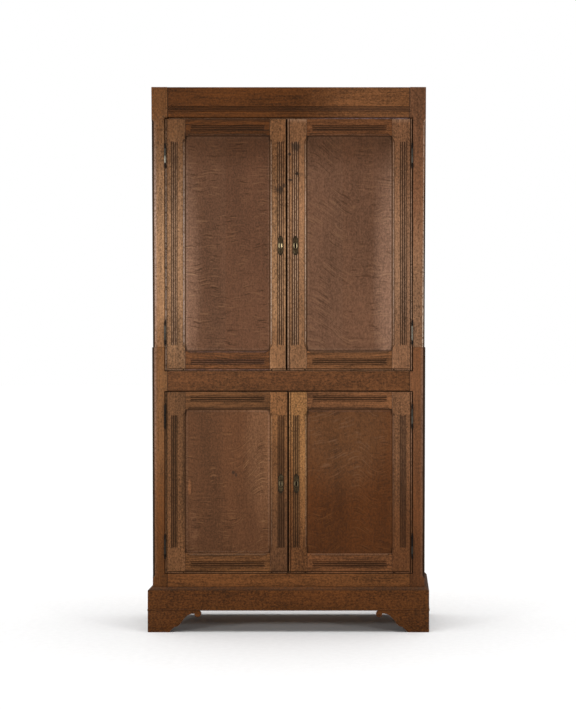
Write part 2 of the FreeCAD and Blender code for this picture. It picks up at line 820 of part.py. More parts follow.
def post_corners(z_pair, play):
    """The room that the four posts take out of a board's corners."""
    corners = []
    for side in (-1, 1):
        x_pair = (side * (post_face_half - play), side * (upper_half_top + lower_half_top))
        corners.append(block(x_pair, (front_y - 1, front_post_back_y + play), z_pair))
        corners.append(block(x_pair, (rear_post_front_y - play, back_y + 1), z_pair))
    return corners


def carcase_board(half, y_pair, z_pair):
    """A board across a carcase, notched round the posts."""
    board = block((-half, half), y_pair, z_pair)
    return carve(board, post_corners((z_pair[0] - 1, z_pair[1] + 1), fit_gap))


def inner_half(upper):
    """Half width between the side rails."""
    outer = upper_half_bottom if upper else lower_half_bottom
    return outer - side_inset - side_rail_thickness


def bottom_board():
    """The floor of the lower carcase."""
    board = carcase_board(inner_half(False), (stop_y, back_y - back_board_thickness),
                          (lower_floor_z - board_thickness, lower_floor_z))
    return board.cut(bolt_socket("lower", -1))


def middle_board():
    """The board between the two tiers, which is the floor of the upper cupboard."""
    panel_face = side_panel_x(False) - side_panel_thickness / 2
    board = carcase_board(min(inner_half(False), panel_face),
                          (stop_y, back_y - back_board_thickness),
                          (upper_floor_z - board_thickness, upper_floor_z))
    return board.cut(bolt_socket("upper", -1))


def top_board_blank():
    """The top board before its corners are cut for the posts."""
    half = inner_half(True) + top_board_seat
    return block((-half, half), (stop_y, back_y - back_board_thickness),
                 (top_rail_top - top_board_thickness - 2, top_rail_top - 2))


def top_board():
    """The loose board that closes the top, let in behind the top rail."""
    blank = top_board_blank()
    return carve(blank, post_corners((top_rail_bottom, post_top_z), fit_gap))


def shelf_heights(upper):
    """Top faces of the shelves, evenly spaced between the fixed boards."""
    if upper:
        low, high, count = upper_floor_z, top_rail_top - top_board_thickness, upper_shelf_count
    else:
        low, high, count = lower_floor_z, upper_floor_z - board_thickness, lower_shelf_count
    step = (high - low) / (count + 1)
    return [low + step * (number + 1) for number in range(count)]


def shelves():
    """The plain shelves in both cupboards."""
    half = post_face_half - shelf_end_gap
    solids = []
    for upper in (False, True):
        for top_z in shelf_heights(upper):
            solids.append(block((-half, half),
                                (front_y + shelf_setback, back_y - back_board_thickness),
                                (top_z - shelf_thickness, top_z)))
    return group(solids)


def cleats():
    """The strips on the posts' inner faces that carry the shelves and the two floor boards."""
    heights = [lower_floor_z - board_thickness, upper_floor_z - board_thickness]
    for upper in (False, True):
        heights.extend(z - shelf_thickness for z in shelf_heights(upper))
    solids = []
    for side in (-1, 1):
        x_pair = (side * post_face_half, side * (post_face_half - cleat_size))
        for z in heights:
            solids.append(block(x_pair,
                                (front_y + rail_thickness, back_y - back_board_thickness),
                                (z - cleat_size, z)))
    return group(solids)


def back_boards(z_low, z_high):
    """Upright boards with tongue and groove that close the back between two heights."""
    half = post_face_half + back_rebate
    width = 2 * half / back_board_count
    tongue = back_board_thickness / 3
    y_front = back_y - back_board_thickness
    solids = []
    for number in range(back_board_count):
        left = -half + number * width
        right = left + width
        board = block((left, right), (y_front, back_y), (z_low, z_high))
        slot_y = (y_front + tongue, back_y - tongue)
        if number > 0:
            board = board.cut(block((left - 1, left + tongue + back_board_gap), slot_y,
                                    (z_low - 1, z_high + 1)))
        if number < back_board_count - 1:
            board = board.cut(block((right - back_board_gap, right + 1),
                                    (y_front - 1, back_y + 1), (z_low - 1, z_high + 1)))
            board = board.fuse(block((right - back_board_gap, right + tongue), slot_y,
                                     (z_low, z_high)))
        solids.append(board.removeSplitter())
    return solids


# ---- doors ----
def door_sizes(tier, side):
    """Every height and half width that the pieces of one door share."""
    if tier == "upper":
        meeting_x, meeting_gap = upper_meeting_x, upper_meeting_gap
        stile = upper_left_stile if side < 0 else upper_right_stile
        reed_in = upper_left_reed_in if side < 0 else upper_right_reed_in
        opening = (middle_rail_top, top_rail_bottom)
        top_gap, top_rail_width = upper_door_top_gap, upper_door_top_rail
        top_reed, floor = upper_door_rail_reed_z, upper_floor_z
        keyhole_z = opening[0] + upper_keyhole_rise
    else:
        meeting_x, meeting_gap = lower_meeting_x, lower_meeting_gap
        stile = lower_left_stile if side < 0 else lower_right_stile
        reed_in = lower_left_reed_in if side < 0 else lower_right_reed_in
        opening = (lower_rail_top, middle_rail_bottom)
        top_gap, top_rail_width = lower_door_top_gap, lower_door_top_rail
        top_reed, floor = lower_door_rail_reed_z, lower_floor_z
        keyhole_z = opening[0] + lower_keyhole_rise
    meeting = meeting_x + side * meeting_gap / 2
    bottom = opening[0] + door_bottom_gap
    face_bottom = bottom + edge_bead_width + edge_quirk_width
    top = opening[1] - top_gap
    return {
        "side": side,
        "meeting": meeting,
        "meeting_inner": meeting + side * stile,
        "reed_x": meeting + side * reed_in,
        "bottom": bottom,
        "face_bottom": face_bottom,
        "top": top,
        "panel_bottom": face_bottom + door_bottom_rail,
        "panel_top": top - top_rail_width,
        "top_reed_z": top - top_rail_width + top_reed,
        "bottom_reed_z": face_bottom + door_bottom_rail - bottom_rail_reed_z,
        "opening_top": opening[1],
        "floor": floor,
        "hinges": hinge_heights(tier == "upper"),
        "keyhole_z": keyhole_z,
    }


def panel_groove_cut(x_pair, z_pair):
    """Room for the panel's edge inside a door frame."""
    return block(x_pair,
                 (front_y + panel_setback, front_y + panel_setback + panel_edge + groove_play),
                 z_pair)


def door_tenon_block(inner_x, outward, z_pair, play):
    """A tenon of a door rail beyond inner_x; with some play it is the mortise."""
    start_y = front_y + panel_setback - play
    end_y = start_y + door_tenon_thickness + 2 * play
    return block((inner_x - outward * play, inner_x + outward * (door_tenon + play)),
                 (start_y, end_y), (z_pair[0] - play, z_pair[1] + play))


def door_tenon_heights(sizes):
    """Heights of the bottom and the top rail's tenons."""
    low = (sizes["face_bottom"] + door_tenon_shoulder, sizes["panel_bottom"] - panel_groove)
    high = (sizes["panel_top"] + panel_groove, sizes["top"] - door_tenon_shoulder)
    return low, high


def stile_cuts(sizes, inner_x, outward):
    """What every stile has: mortises, the panel groove and a stopped chamfer by the panel."""
    low, high = door_tenon_heights(sizes)
    panel = (sizes["panel_bottom"], sizes["panel_top"])
    start = V(inner_x, front_y, panel[0] + stile_chamfer_start)
    end = V(inner_x, front_y, panel[1] - stile_chamfer_start)
    return [
        door_tenon_block(inner_x, outward, low, fit_gap),
        door_tenon_block(inner_x, outward, high, fit_gap),
        panel_groove_cut((inner_x - outward, inner_x + outward * panel_groove),
                         (panel[0] - panel_groove, panel[1] + panel_groove)),
        stopped_chamfer(start, end, V(outward, 0, 0), Y_AXIS, frame_chamfer,
                        frame_chamfer_stop),
    ]


def stile_reeds(sizes, middle_x):
    """The upright band of reeds on a stile."""
    low = sizes["panel_bottom"] + stile_reed_end
    length = sizes["panel_top"] - stile_reed_end - low
    return reed_cutter(length).translated(V(middle_x, front_y, low))


def lip_bead(x_low, x_high, sizes):
    """The quirk and bead along the lower edge of a door, from x_low to x_high."""
    cutter = bead_cutter(edge_quirk_width, edge_bead_width, x_high - x_low)
    return placed(cutter, V(x_low, front_y, sizes["face_bottom"]), -Z_AXIS, Y_AXIS)


def lip_notch(sizes, joint_x, outward):
    """A short break in the lower bead beside the joint of stile and rail."""
    near = joint_x + outward * lip_notch_from_joint
    return block((near, near + outward * lip_notch_width),
                 (front_y - 1, front_y + edge_quirk_depth),
                 (sizes["bottom"] - 1, sizes["face_bottom"]))


def door_leaf_recess(side, middle_z):
    """The bed for a hinge leaf in the edge of a door."""
    half = knuckle_length / 2
    return block((side * (door_edge_x - leaf_thickness), side * (door_edge_x + 1)),
                 (front_y - 1, front_y + leaf_width), (middle_z - half, middle_z + half))


def hinge_stile(sizes):
    """The stile that hangs on the hinges, with the long bead in line with their knuckles."""
    side = sizes["side"]
    inner_x = side * stile_inner_x
    face_x = side * door_face_x
    stile = block((inner_x, side * door_edge_x), (front_y, door_back_y),
                  (sizes["bottom"], sizes["top"]))
    height = sizes["top"] - sizes["bottom"]
    cutter = bead_cutter(edge_quirk_width, edge_bead_width, height)
    if side > 0:
        edge = placed(cutter, V(face_x, front_y, sizes["bottom"]), X_AXIS, Y_AXIS)
    else:
        edge = placed(cutter, V(face_x, front_y, sizes["top"]), -X_AXIS, Y_AXIS)
    cuts = stile_cuts(sizes, inner_x, side)
    cuts.append(edge)
    cuts.append(lip_bead(min(inner_x, face_x), max(inner_x, face_x), sizes))
    cuts.append(lip_notch(sizes, inner_x, side))
    reed_x = side * (door_face_x - hinge_stile_reed_in)
    cuts.append(stile_reeds(sizes, reed_x))
    for middle_z in sizes["hinges"]:
        cuts.append(door_leaf_recess(side, middle_z))
    return carve(stile, cuts)


def keyhole(sizes, y_pair):
    """A keyhole: a round eye over a straight slot, between two depths."""
    x = sizes["reed_x"]
    eye_z = sizes["keyhole_z"] + keyhole_drop / 2 - keyhole_radius / 2
    half = keyhole_slot / 2
    shoulder = eye_z - math.sqrt(keyhole_radius ** 2 - half ** 2)
    points = stepped_arc(V(x - half, y_pair[0], shoulder), V(x, y_pair[0], eye_z + keyhole_radius),
                         V(x + half, y_pair[0], shoulder), 2 * plate_steps)
    points.append(V(x + half, y_pair[0], eye_z - keyhole_drop))
    points.append(V(x - half, y_pair[0], eye_z - keyhole_drop))
    return prism(points, V(0, y_pair[1] - y_pair[0], 0))


def meeting_stile(sizes):
    """The stile at the middle of the press. On a right door it has a bead along its edge and the
    keyhole of the lock."""
    side = sizes["side"]
    inner_x = sizes["meeting_inner"]
    edge_x = sizes["meeting"]
    stile = block((inner_x, edge_x), (front_y, door_back_y), (sizes["bottom"], sizes["top"]))
    cuts = stile_cuts(sizes, inner_x, -side)
    cuts.append(lip_bead(min(inner_x, edge_x), max(inner_x, edge_x), sizes))
    cuts.append(lip_notch(sizes, inner_x, -side))
    cuts.append(stile_reeds(sizes, sizes["reed_x"]))
    if side > 0:
        quirk_x = edge_x + meeting_bead_width + meeting_quirk_width
        height = sizes["top"] - sizes["bottom"]
        cutter = bead_cutter(meeting_quirk_width, meeting_bead_width, height)
        cuts.append(placed(cutter, V(quirk_x, front_y, sizes["top"]), -X_AXIS, Y_AXIS))
        cuts.append(keyhole(sizes, (front_y - 1, door_back_y + 1)))
    return carve(stile, cuts)


def door_rail(sizes, top):
    """A top or bottom rail of a door with its tenons, reeds, groove and stopped chamfer."""
    side = sizes["side"]
    hinge_inner = side * stile_inner_x
    meeting_inner = sizes["meeting_inner"]
    x_low, x_high = sorted((hinge_inner, meeting_inner))
    low, high = door_tenon_heights(sizes)
    if top:
        z_pair = (sizes["panel_top"], sizes["top"])
        arris_z, into, tenon_z, reed_z = sizes["panel_top"], Z_AXIS, high, sizes["top_reed_z"]
        groove_z = (arris_z - 1, arris_z + panel_groove)
    else:
        z_pair = (sizes["bottom"], sizes["panel_bottom"])
        arris_z, into, tenon_z, reed_z = (sizes["panel_bottom"], -Z_AXIS, low,
                                          sizes["bottom_reed_z"])
        groove_z = (arris_z - panel_groove, arris_z + 1)
    rail = block((x_low, x_high), (front_y, door_back_y), z_pair)
    rail = rail.fuse(door_tenon_block(x_low, -1, tenon_z, 0.0))
    rail = rail.fuse(door_tenon_block(x_high, 1, tenon_z, 0.0)).removeSplitter()
    start = V(x_low + rail_chamfer_start, front_y, arris_z)
    end = V(x_high - rail_chamfer_start, front_y, arris_z)
    length = x_high - x_low - 2 * rail_reed_end
    reeds = placed(reed_cutter(length), V(x_low + rail_reed_end, front_y, reed_z), -Z_AXIS,
                   Y_AXIS)
    cuts = [
        stopped_chamfer(start, end, into, Y_AXIS, frame_chamfer, frame_chamfer_stop),
        panel_groove_cut((x_low - 1, x_high + 1), groove_z),
        reeds,
    ]
    if not top:
        cuts.append(lip_bead(x_low, x_high, sizes))
    return carve(rail, cuts)


def door_panel(sizes):
    """The flat panel, bevelled round its back so that its edge fits the frame's groove."""
    reach = panel_groove - panel_room
    x_low, x_high = sorted((sizes["side"] * stile_inner_x, sizes["meeting_inner"]))
    x_low, x_high = x_low - reach, x_high + reach
    z_low, z_high = sizes["panel_bottom"] - reach, sizes["panel_top"] + reach
    front = front_y + panel_setback
    edge_y = front + panel_edge
    back = front + panel_thickness
    tongue = reach + panel_tongue_show
    field = tongue + panel_bevel
    board = block((x_low, x_high), (front, back), (z_low, z_high))
    cuts = []
    for x, inward in ((x_low, 1), (x_high, -1)):
        cuts.append(prism([V(x, edge_y, z_low), V(x + inward * tongue, edge_y, z_low),
                           V(x + inward * field, back, z_low), V(x, back, z_low)],
                          Z_AXIS * (z_high - z_low)))
    for z, inward in ((z_low, 1), (z_high, -1)):
        cuts.append(prism([V(x_low, edge_y, z), V(x_low, edge_y, z + inward * tongue),
                           V(x_low, back, z + inward * field), V(x_low, back, z)],
                          X_AXIS * (x_high - x_low)))
    return carve(board, cuts)


# ---- hinges ----
def turned(profile, sides):
    """A solid of flat sides round the Z axis. The profile lists (radius, height) pairs upward; a
    radius of nought makes a point."""
    faces = []
    rings = []
    for radius, height in profile:
        ring = [V(radius * math.cos(2 * math.pi * number / sides),
                  radius * math.sin(2 * math.pi * number / sides), height)
                for number in range(sides)]
        rings.append(ring)
    for low, high, ends in zip(rings, rings[1:], zip(profile, profile[1:])):
        for number in range(sides):
            after = (number + 1) % sides
            corners = [low[number], low[after], high[after], high[number], low[number]]
            if ends[0][0] == 0:
                corners = [low[number], high[after], high[number], low[number]]
            if ends[1][0] == 0:
                corners = [low[number], low[after], high[number], low[number]]
            faces.append(Part.Face(Part.makePolygon(corners)))
    for ring, end in ((rings[0], profile[0]), (rings[-1], profile[-1])):
        if end[0] > 0:
            faces.append(Part.Face(Part.makePolygon(ring + [ring[0]])))
    solid = Part.Solid(Part.Shell(faces))
    if solid.Volume < 0:
        solid.reverse()
    return solid


def barrel_half(axis, direction):
    """Half a hinge barrel with its finial, from the middle of the hinge up (+1) or down (-1)."""
    r = knuckle_radius
    end = knuckle_length / 2
    profile = [
        (r, knuckle_gap),
        (r, end),
        (r * finial_waist, end + finial_length * finial_waist_rise),
        (r * finial_swell, end + finial_length * finial_swell_rise),
        (0, end + finial_length),
    ]
    if direction < 0:
        profile = [(radius, -height) for radius, height in reversed(profile)]
    return turned(profile, knuckle_sides).translated(axis)


def hinge_half(side, middle_z, on_door):
    """One leaf of a lift-off hinge with its half of the barrel and its finial. The door has the
    upper half of the barrel, and the post has the lower half and the pin."""
    half = knuckle_length / 2
    axis = V(side * hinge_x, hinge_y, middle_z)
    if on_door:
        own = (middle_z + knuckle_gap, middle_z + half)
        x_pair = (side * (door_edge_x - leaf_thickness), side * door_edge_x)
        barrel = barrel_half(axis, 1)
    else:
        own = (middle_z - half, middle_z - knuckle_gap)
        wall = post_face_half + door_rebate
        x_pair = (side * wall, side * (wall + leaf_thickness))
        barrel = barrel_half(axis, -1)
    leaf = block(x_pair, (front_y, front_y + leaf_width), (middle_z - half, middle_z + half))
    neck = block(x_pair, (hinge_y, front_y), own)
    solid = barrel.fuse([leaf, neck]).removeSplitter()
    if on_door:
        return solid.cut(rod(axis, Z_AXIS, hinge_pin_radius + fit_gap, hinge_pin_reach + 1))
    pin = rod(V(axis.x, axis.y, own[1] - 1), Z_AXIS, hinge_pin_radius, hinge_pin_reach + 1)
    return solid.fuse(pin).removeSplitter()


def post_hinge_halves():
    """The eight hinge halves that are fixed to the posts."""
    solids = []
    for upper in (False, True):
        for side in (-1, 1):
            solids.extend(hinge_half(side, z, False) for z in hinge_heights(upper))
    return group(solids)


def door_hinge_halves(sizes):
    """The two hinge halves on one door."""
    return group([hinge_half(sizes["side"], z, True) for z in sizes["hinges"]])


# ---- keyhole plates, locks and bolts ----
def plate_outline():
    """A quarter of the way round a keyhole plate at a time: a long oval body, a lobe and a
    rounded tip, as points in the plane Y = 0."""
    tall = plate_half_height
    shoulder = V(plate_shoulder_half_width, 0, tall * plate_shoulder_rise)
    lobe = V(plate_lobe_half_width, 0, tall * plate_lobe_rise)
    tip = V(plate_tip_half_width, 0, tall * plate_tip_rise)
    body = stepped_arc(V(shoulder.x, 0, -shoulder.z), V(plate_half_width, 0, 0), shoulder,
                       2 * plate_steps)
    bulge = stepped_arc(shoulder, lobe, tip, plate_steps)
    crown = stepped_arc(tip, V(0, 0, tall), V(-tip.x, 0, tip.z), 2 * plate_steps)
    half = body[len(body) // 2:] + bulge[1:] + crown[1:plate_steps + 1]
    quarter_back = [V(-point.x, 0, point.z) for point in reversed(half[:-1])]
    upper = half + quarter_back
    lower = [V(-point.x, 0, -point.z) for point in upper[1:-1]]
    return upper + lower


def oval(half_width, half_height, depth):
    """An upright oval disc with straight sides, from Y = 0 towards the front."""
    straight = half_height - half_width
    points = stepped_arc(V(-half_width, 0, straight), V(0, 0, half_height),
                         V(half_width, 0, straight), 2 * plate_steps)
    points.extend(stepped_arc(V(half_width, 0, -straight), V(0, 0, -half_height),
                              V(-half_width, 0, -straight), 2 * plate_steps))
    return prism(points, V(0, -depth, 0))


def keyhole_plate(sizes, pierced):
    """A cast keyhole plate with a raised oval ring."""
    plate = prism(plate_outline(), V(0, -plate_thickness, 0))
    ring_depth = plate_thickness + plate_ring_height
    ring = oval(plate_ring_half_width, plate_ring_half_height, ring_depth)
    room = oval(plate_ring_half_width - plate_ring_width,
                plate_ring_half_height - plate_ring_width, ring_depth)
    room.translate(V(0, -plate_thickness, 0))
    plate = plate.fuse(ring).cut(room).removeSplitter()
    plate.translate(V(sizes["reed_x"], front_y, sizes["keyhole_z"]))
    if pierced:
        plate = plate.cut(keyhole(sizes, (front_y - ring_depth, front_y + cutter_overrun)))
    return plate


def lock_case(sizes):
    """The lock on the back of a right meeting stile: a case with a channel for the bolt and a
    keyhole."""
    edge = sizes["meeting"]
    z = sizes["keyhole_z"]
    case = block((edge, edge + lock_width), (door_back_y, door_back_y + lock_depth),
                 (z - lock_height / 2, z + lock_height / 2))
    half = lock_bolt_thickness / 2 + slide_clearance
    half_z = lock_bolt_height / 2 + slide_clearance
    channel = block((edge - 1, edge + lock_width - lock_wall),
                    (lock_bolt_y - half, lock_bolt_y + half), (z - half_z, z + half_z))
    return carve(case, [channel, keyhole(sizes, (door_back_y - 1, lock_bolt_y))])


def lock_bolt(sizes):
    """The sliding bolt inside a lock."""
    edge = sizes["meeting"]
    z = sizes["keyhole_z"]
    half = lock_bolt_thickness / 2
    return block((edge, edge + lock_bolt_length), (lock_bolt_y - half, lock_bolt_y + half),
                 (z - lock_bolt_height / 2, z + lock_bolt_height / 2))


def box_keeper(sizes):
    """The box on the back of a left meeting stile that the lock's bolt shoots into."""
    edge = sizes["meeting"]
    z = sizes["keyhole_z"]
    outer_z = lock_bolt_height / 2 + 2 * lock_wall
    shell = block((edge, edge - keeper_length), (door_back_y, door_back_y + lock_depth),
                  (z - outer_z, z + outer_z))
    half = lock_bolt_thickness / 2 + 2 * slide_clearance
    half_z = lock_bolt_height / 2 + 2 * slide_clearance
    room = block((edge + 1, edge - keeper_length + lock_wall),
                 (lock_bolt_y - half, lock_bolt_y + half), (z - half_z, z + half_z))
    return shell.cut(room)


def slide_bolt_ends(sizes, direction):
    """Outer tip and inner end of a slide bolt at rest, as heights."""
    if direction > 0:
        tip = sizes["opening_top"] - rail_lip - bolt_end_gap
    else:
        tip = sizes["floor"] + bolt_end_gap
    return tip, tip - direction * slide_bolt_length


def staple_heights(sizes, direction):
    """Middle heights of the two staples that guide a slide bolt."""
    tip, tail = slide_bolt_ends(sizes, direction)
    first = tip - direction * (staple_width / 2 + staple_from_end)
    second = tail + direction * (staple_width / 2 + slide_bolt_throw + staple_from_end)
    return first, second


def slide_bolt(sizes, direction):
    """A flat slide bolt with a small knob, shooting up (+1) or down (-1)."""
    x = sizes["meeting"] - slide_bolt_from_edge
    tip, tail = slide_bolt_ends(sizes, direction)
    reach = slide_bolt_thickness / 2 + slide_bolt_knob_length
    knob = turned([(slide_bolt_knob_radius, 0), (slide_bolt_knob_radius, reach)],
                  slide_bolt_knob_sides)
    knob = placed(knob, V(x, bolt_y, (tip + tail) / 2), X_AXIS, -Z_AXIS)
    return bolt_bar(x, (tip, tail), 0.0).fuse(knob).removeSplitter()


def bolt_plate(sizes, direction):
    """The back plate of a slide bolt with its two staples."""
    x = sizes["meeting"] - slide_bolt_from_edge
    tip, tail = slide_bolt_ends(sizes, direction)
    half = slide_bolt_width / 2 + staple_wall + bolt_plate_side
    z_pair = (tip - direction * bolt_plate_end,
              tail + direction * (slide_bolt_throw + bolt_plate_end))
    plate = block((x - half, x + half), (door_back_y, door_back_y + bolt_plate_thickness),
                  z_pair)
    half = slide_bolt_width / 2 + staple_wall
    staple_y = (door_back_y, bolt_y + slide_bolt_thickness / 2 + staple_wall)
    for z in staple_heights(sizes, direction):
        plate = plate.fuse(block((x - half, x + half), staple_y,
                                 (z - staple_width / 2, z + staple_width / 2)))
    low, high = sorted(z_pair)
    return plate.removeSplitter().cut(bolt_bar(x, (low - 1, high + 1), slide_clearance))


def left_door_ironwork(sizes):
    """What is screwed to the back of a left door: two bolt plates and the box for the lock."""
    return group([bolt_plate(sizes, 1), bolt_plate(sizes, -1), box_keeper(sizes)])


# ---- the whole press ----
def build_carcases():
    """Every fixed piece of the two carcases."""
    export("lower_post_left", front_post(-1, False))
    export("lower_post_right", front_post(1, False))
    export("upper_post_left", front_post(-1, True))
    export("upper_post_right", front_post(1, True))
    export("rear_posts", rear_posts())
    export("lower_rail", lower_rail())
    export("middle_rail", middle_rail())
    export("top_rail", top_rail())
    export("side_rails", side_rails())
    export("side_panels", side_panels())
    export("bottom_board", bottom_board())
    export("middle_board", middle_board())
    export("top_board", top_board())
    export("shelves", shelves())
    export("shelf_cleats", cleats())
    export("back_boards", group(back_boards(bead_top_z, seam_z)
                                + back_boards(seam_z, top_rail_top)))
    export("plinth_boards", group([plinth_front(), plinth_side(-1), plinth_side(1)]))
    export("plinth_bead", plinth_bead())
    export("front_foot_left", front_foot(-1))
    export("front_foot_right", front_foot(1))
    export("rear_feet", rear_feet())
    export("post_hinge_halves", post_hinge_halves())


def build_door(tier, side):
    """Every piece of one door."""
    name = tier + ("_left" if side < 0 else "_right")
    sizes = door_sizes(tier, side)
    export(name + "_hinge_stile", hinge_stile(sizes))
    export(name + "_meeting_stile", meeting_stile(sizes))
    export(name + "_top_rail", door_rail(sizes, True))
    export(name + "_bottom_rail", door_rail(sizes, False))
    export(name + "_panel", door_panel(sizes))
    export(name + "_hinge_halves", door_hinge_halves(sizes))
    export(name + "_keyhole_plate", keyhole_plate(sizes, side > 0))
    if side > 0:
        export(name + "_lock", lock_case(sizes))
        export(name + "_lock_bolt", lock_bolt(sizes))
    else:
        export(name + "_ironwork", left_door_ironwork(sizes))
        export(name + "_top_bolt", slide_bolt(sizes, 1))
        export(name + "_bottom_bolt", slide_bolt(sizes, -1))


build_carcases()
for tier_name in ("lower", "upper"):
    for door_side in (-1, 1):
        build_door(tier_name, door_side)
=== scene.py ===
"""The looks of a two-tier oak linen press, built round its packed construction model.

Boards are worked out in millimetres in their own directions: a across the face, b along the grain
and c into the wood. Every finished piece is in metres, in the frame of the construction model.
Each point of a piece carries two values for its finish: hollow, how dark it is painted there,
which is settled dirt and, in gaps, quirks and corners, painted shade; and rub, how far use has
rubbed it and how much painted highlight it carries on crowns, beads, chamfers and metal.
"""
from functools import partial
import math

import bpy
import numpy as np
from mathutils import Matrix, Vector


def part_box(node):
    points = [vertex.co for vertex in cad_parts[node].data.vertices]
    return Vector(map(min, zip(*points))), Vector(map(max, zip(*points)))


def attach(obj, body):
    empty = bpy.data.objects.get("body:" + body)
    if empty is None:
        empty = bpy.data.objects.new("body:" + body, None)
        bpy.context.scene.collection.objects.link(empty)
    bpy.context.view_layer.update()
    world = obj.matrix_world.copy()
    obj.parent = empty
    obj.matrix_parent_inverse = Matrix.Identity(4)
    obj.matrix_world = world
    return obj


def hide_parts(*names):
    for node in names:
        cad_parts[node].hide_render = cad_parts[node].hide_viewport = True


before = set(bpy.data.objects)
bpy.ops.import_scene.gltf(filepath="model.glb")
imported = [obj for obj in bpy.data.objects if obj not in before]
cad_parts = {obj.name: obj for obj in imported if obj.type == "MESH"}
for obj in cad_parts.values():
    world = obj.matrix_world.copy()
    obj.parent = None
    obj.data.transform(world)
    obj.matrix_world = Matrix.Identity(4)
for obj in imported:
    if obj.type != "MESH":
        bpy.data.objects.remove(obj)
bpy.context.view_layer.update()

MM = 0.001
TIERS = ("upper", "lower")
SIDES = {"left": -1, "right": 1}

# ---- sizes and places, in millimetres ----
FRONT, REAR = -215.75, 234.25           # faces of the front posts, rails and doors; rear faces
FOOT_TOP, POST_FOOT = 79.0, 84.0        # under and over the plinth's bead
SEAM, TOP, RAIL_TOP = 1044.0, 2000.0, 1999.2
POST_WIDE, POST_DEEP, POST_INNER = 53.5, 55.0, 445.5
CARCASE_HALF = 499.0                    # half the width at the foot of either tier
REBATE, STOP = 10.5, 25.0               # width and depth of the door rebates
DOOR_DEEP = 24.0
BASE = {"lower": POST_FOOT, "upper": SEAM}
OUTER = {"lower": ((POST_FOOT, 165.0, SEAM), (CARCASE_HALF, CARCASE_HALF, 502.0)),
         "upper": ((SEAM, TOP), (CARCASE_HALF, 504.7))}     # heights, and half widths there
OPENINGS = {"lower": (212.0, 883.0), "upper": (956.5, 1888.0)}
POST_CHAMFER = {"lower": (196.0, 1058.0), "upper": (1030.0, 1882.0)}
HINGE_X, HINGE_Y = 453.5, -219.95       # axis of the hinges


def span(node):
    """Lowest and highest corner of a construction node, in millimetres."""
    return [np.array(corner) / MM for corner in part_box(node)]


# ---- meshes ----
CREASE = math.radians(35)


def grid_faces(rows, columns):
    """Corner numbers of the four-sided faces between neighbouring closed rings."""
    row, column = np.meshgrid(np.arange(rows - 1), np.arange(columns), indexing="ij")
    here, after = row * columns + column, row * columns + (column + 1) % columns
    return np.stack([here, after, after + columns, here + columns], axis=-1).reshape(-1, 4)


def points_inward(points, caps, quads):
    """Whether a closed surface is inside out: its volume, the sum over its faces of the box
    products of their corners, is then less than nothing."""
    fans = [np.stack([0 * cap[2:] + cap[0], cap[1:-1], cap[2:], cap[2:]], 1) for cap in caps]
    p = points[np.concatenate([quads] + fans)]
    return sum(np.sum(p[:, 0] * np.cross(p[:, k], p[:, k + 1])) for k in (1, 2)) < 0


def make_piece(name, skins, body, slot, material, *stands_for):
    """One object from several skins. A skin is a dictionary with its points, as rings by places
    round each ring by 3, in millimetres, and its 'hollow' and 'rub' values. Its ends are closed,
    unless it has 'turn', which says whether its faces have to be turned round."""
    points, sizes, corners, marks = [], [], [], {"hollow": [], "rub_and_sheen": []}
    start = 0
    for skin in skins:
        rows, columns = skin["points"].shape[:2]
        flat = skin["points"].reshape(-1, 3)
        quads = grid_faces(rows, columns)
        ring = np.arange(columns)
        caps = [] if "turn" in skin else [ring[::-1], ring + (rows - 1) * columns]
        if points_inward(flat, caps, quads) if caps else skin["turn"]:
            quads = quads[:, ::-1]
            caps = [cap[::-1] for cap in caps]
        points.append(flat * MM)
        corners += [quads.ravel() + start] + [cap + start for cap in caps]
        sizes += [4] * len(quads) + [columns] * len(caps)
        for mark in marks:
            marks[mark].append((np.zeros((rows, columns)) + skin.get(mark, 0.0)).ravel())
        start += rows * columns
    points, corners, sizes = np.concatenate(points), np.concatenate(corners), np.array(sizes)
    mesh = bpy.data.meshes.new(name)
    mesh.vertices.add(len(points))
    mesh.vertices.foreach_set("co", points.ravel().astype(np.float32))
    mesh.loops.add(len(corners))
    mesh.loops.foreach_set("vertex_index", corners.astype(np.int32))
    mesh.polygons.add(len(sizes))
    mesh.polygons.foreach_set("loop_start", (np.cumsum(sizes) - sizes).astype(np.int32))
    mesh.update(calc_edges=True)
    mesh.validate()
    mesh.shade_smooth()
    mesh.set_sharp_from_angle(angle=CREASE)
    for mark, values in marks.items():
        layer = mesh.attributes.new(mark, "FLOAT", "POINT")
        layer.data.foreach_set("value", np.concatenate(values).astype(np.float32))
    mesh.materials.append(material)
    piece = bpy.data.objects.new(name, mesh)
    bpy.context.scene.collection.objects.link(piece)
    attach(piece, body)
    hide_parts(*stands_for)


def bell(distance, width):
    """A bell curve of the distance, 1 in the middle."""
    return np.exp(-(distance / width) ** 2)


def mirrored(marks, length):
    """Distances counted from both ends of a length."""
    return [np.array(marks), length - np.array(marks)]


def stations(length, marks, step):
    """Places along an edge: both ends, every mark, and fillers no further apart than the step."""
    fill = np.linspace(0, length, max(2, math.ceil(length / step) + 1))
    every = np.concatenate([fill, *marks])
    return np.unique(np.round(every[(every >= 0) & (every <= length)], 3))


def eased(radius):
    """Distances from an edge where its small round is sampled: a cosine spacing."""
    return radius * (1 - np.cos(np.linspace(0, math.pi / 2, 4)))


def round_over(distance, radius):
    """Depth of a quarter round of that radius at a distance from the edge."""
    short = np.clip(radius - distance, 0, radius)
    return radius - np.sqrt(radius ** 2 - short ** 2)


def untouched(a, b):
    """No cut, dirt or wear anywhere."""
    return 0 * a


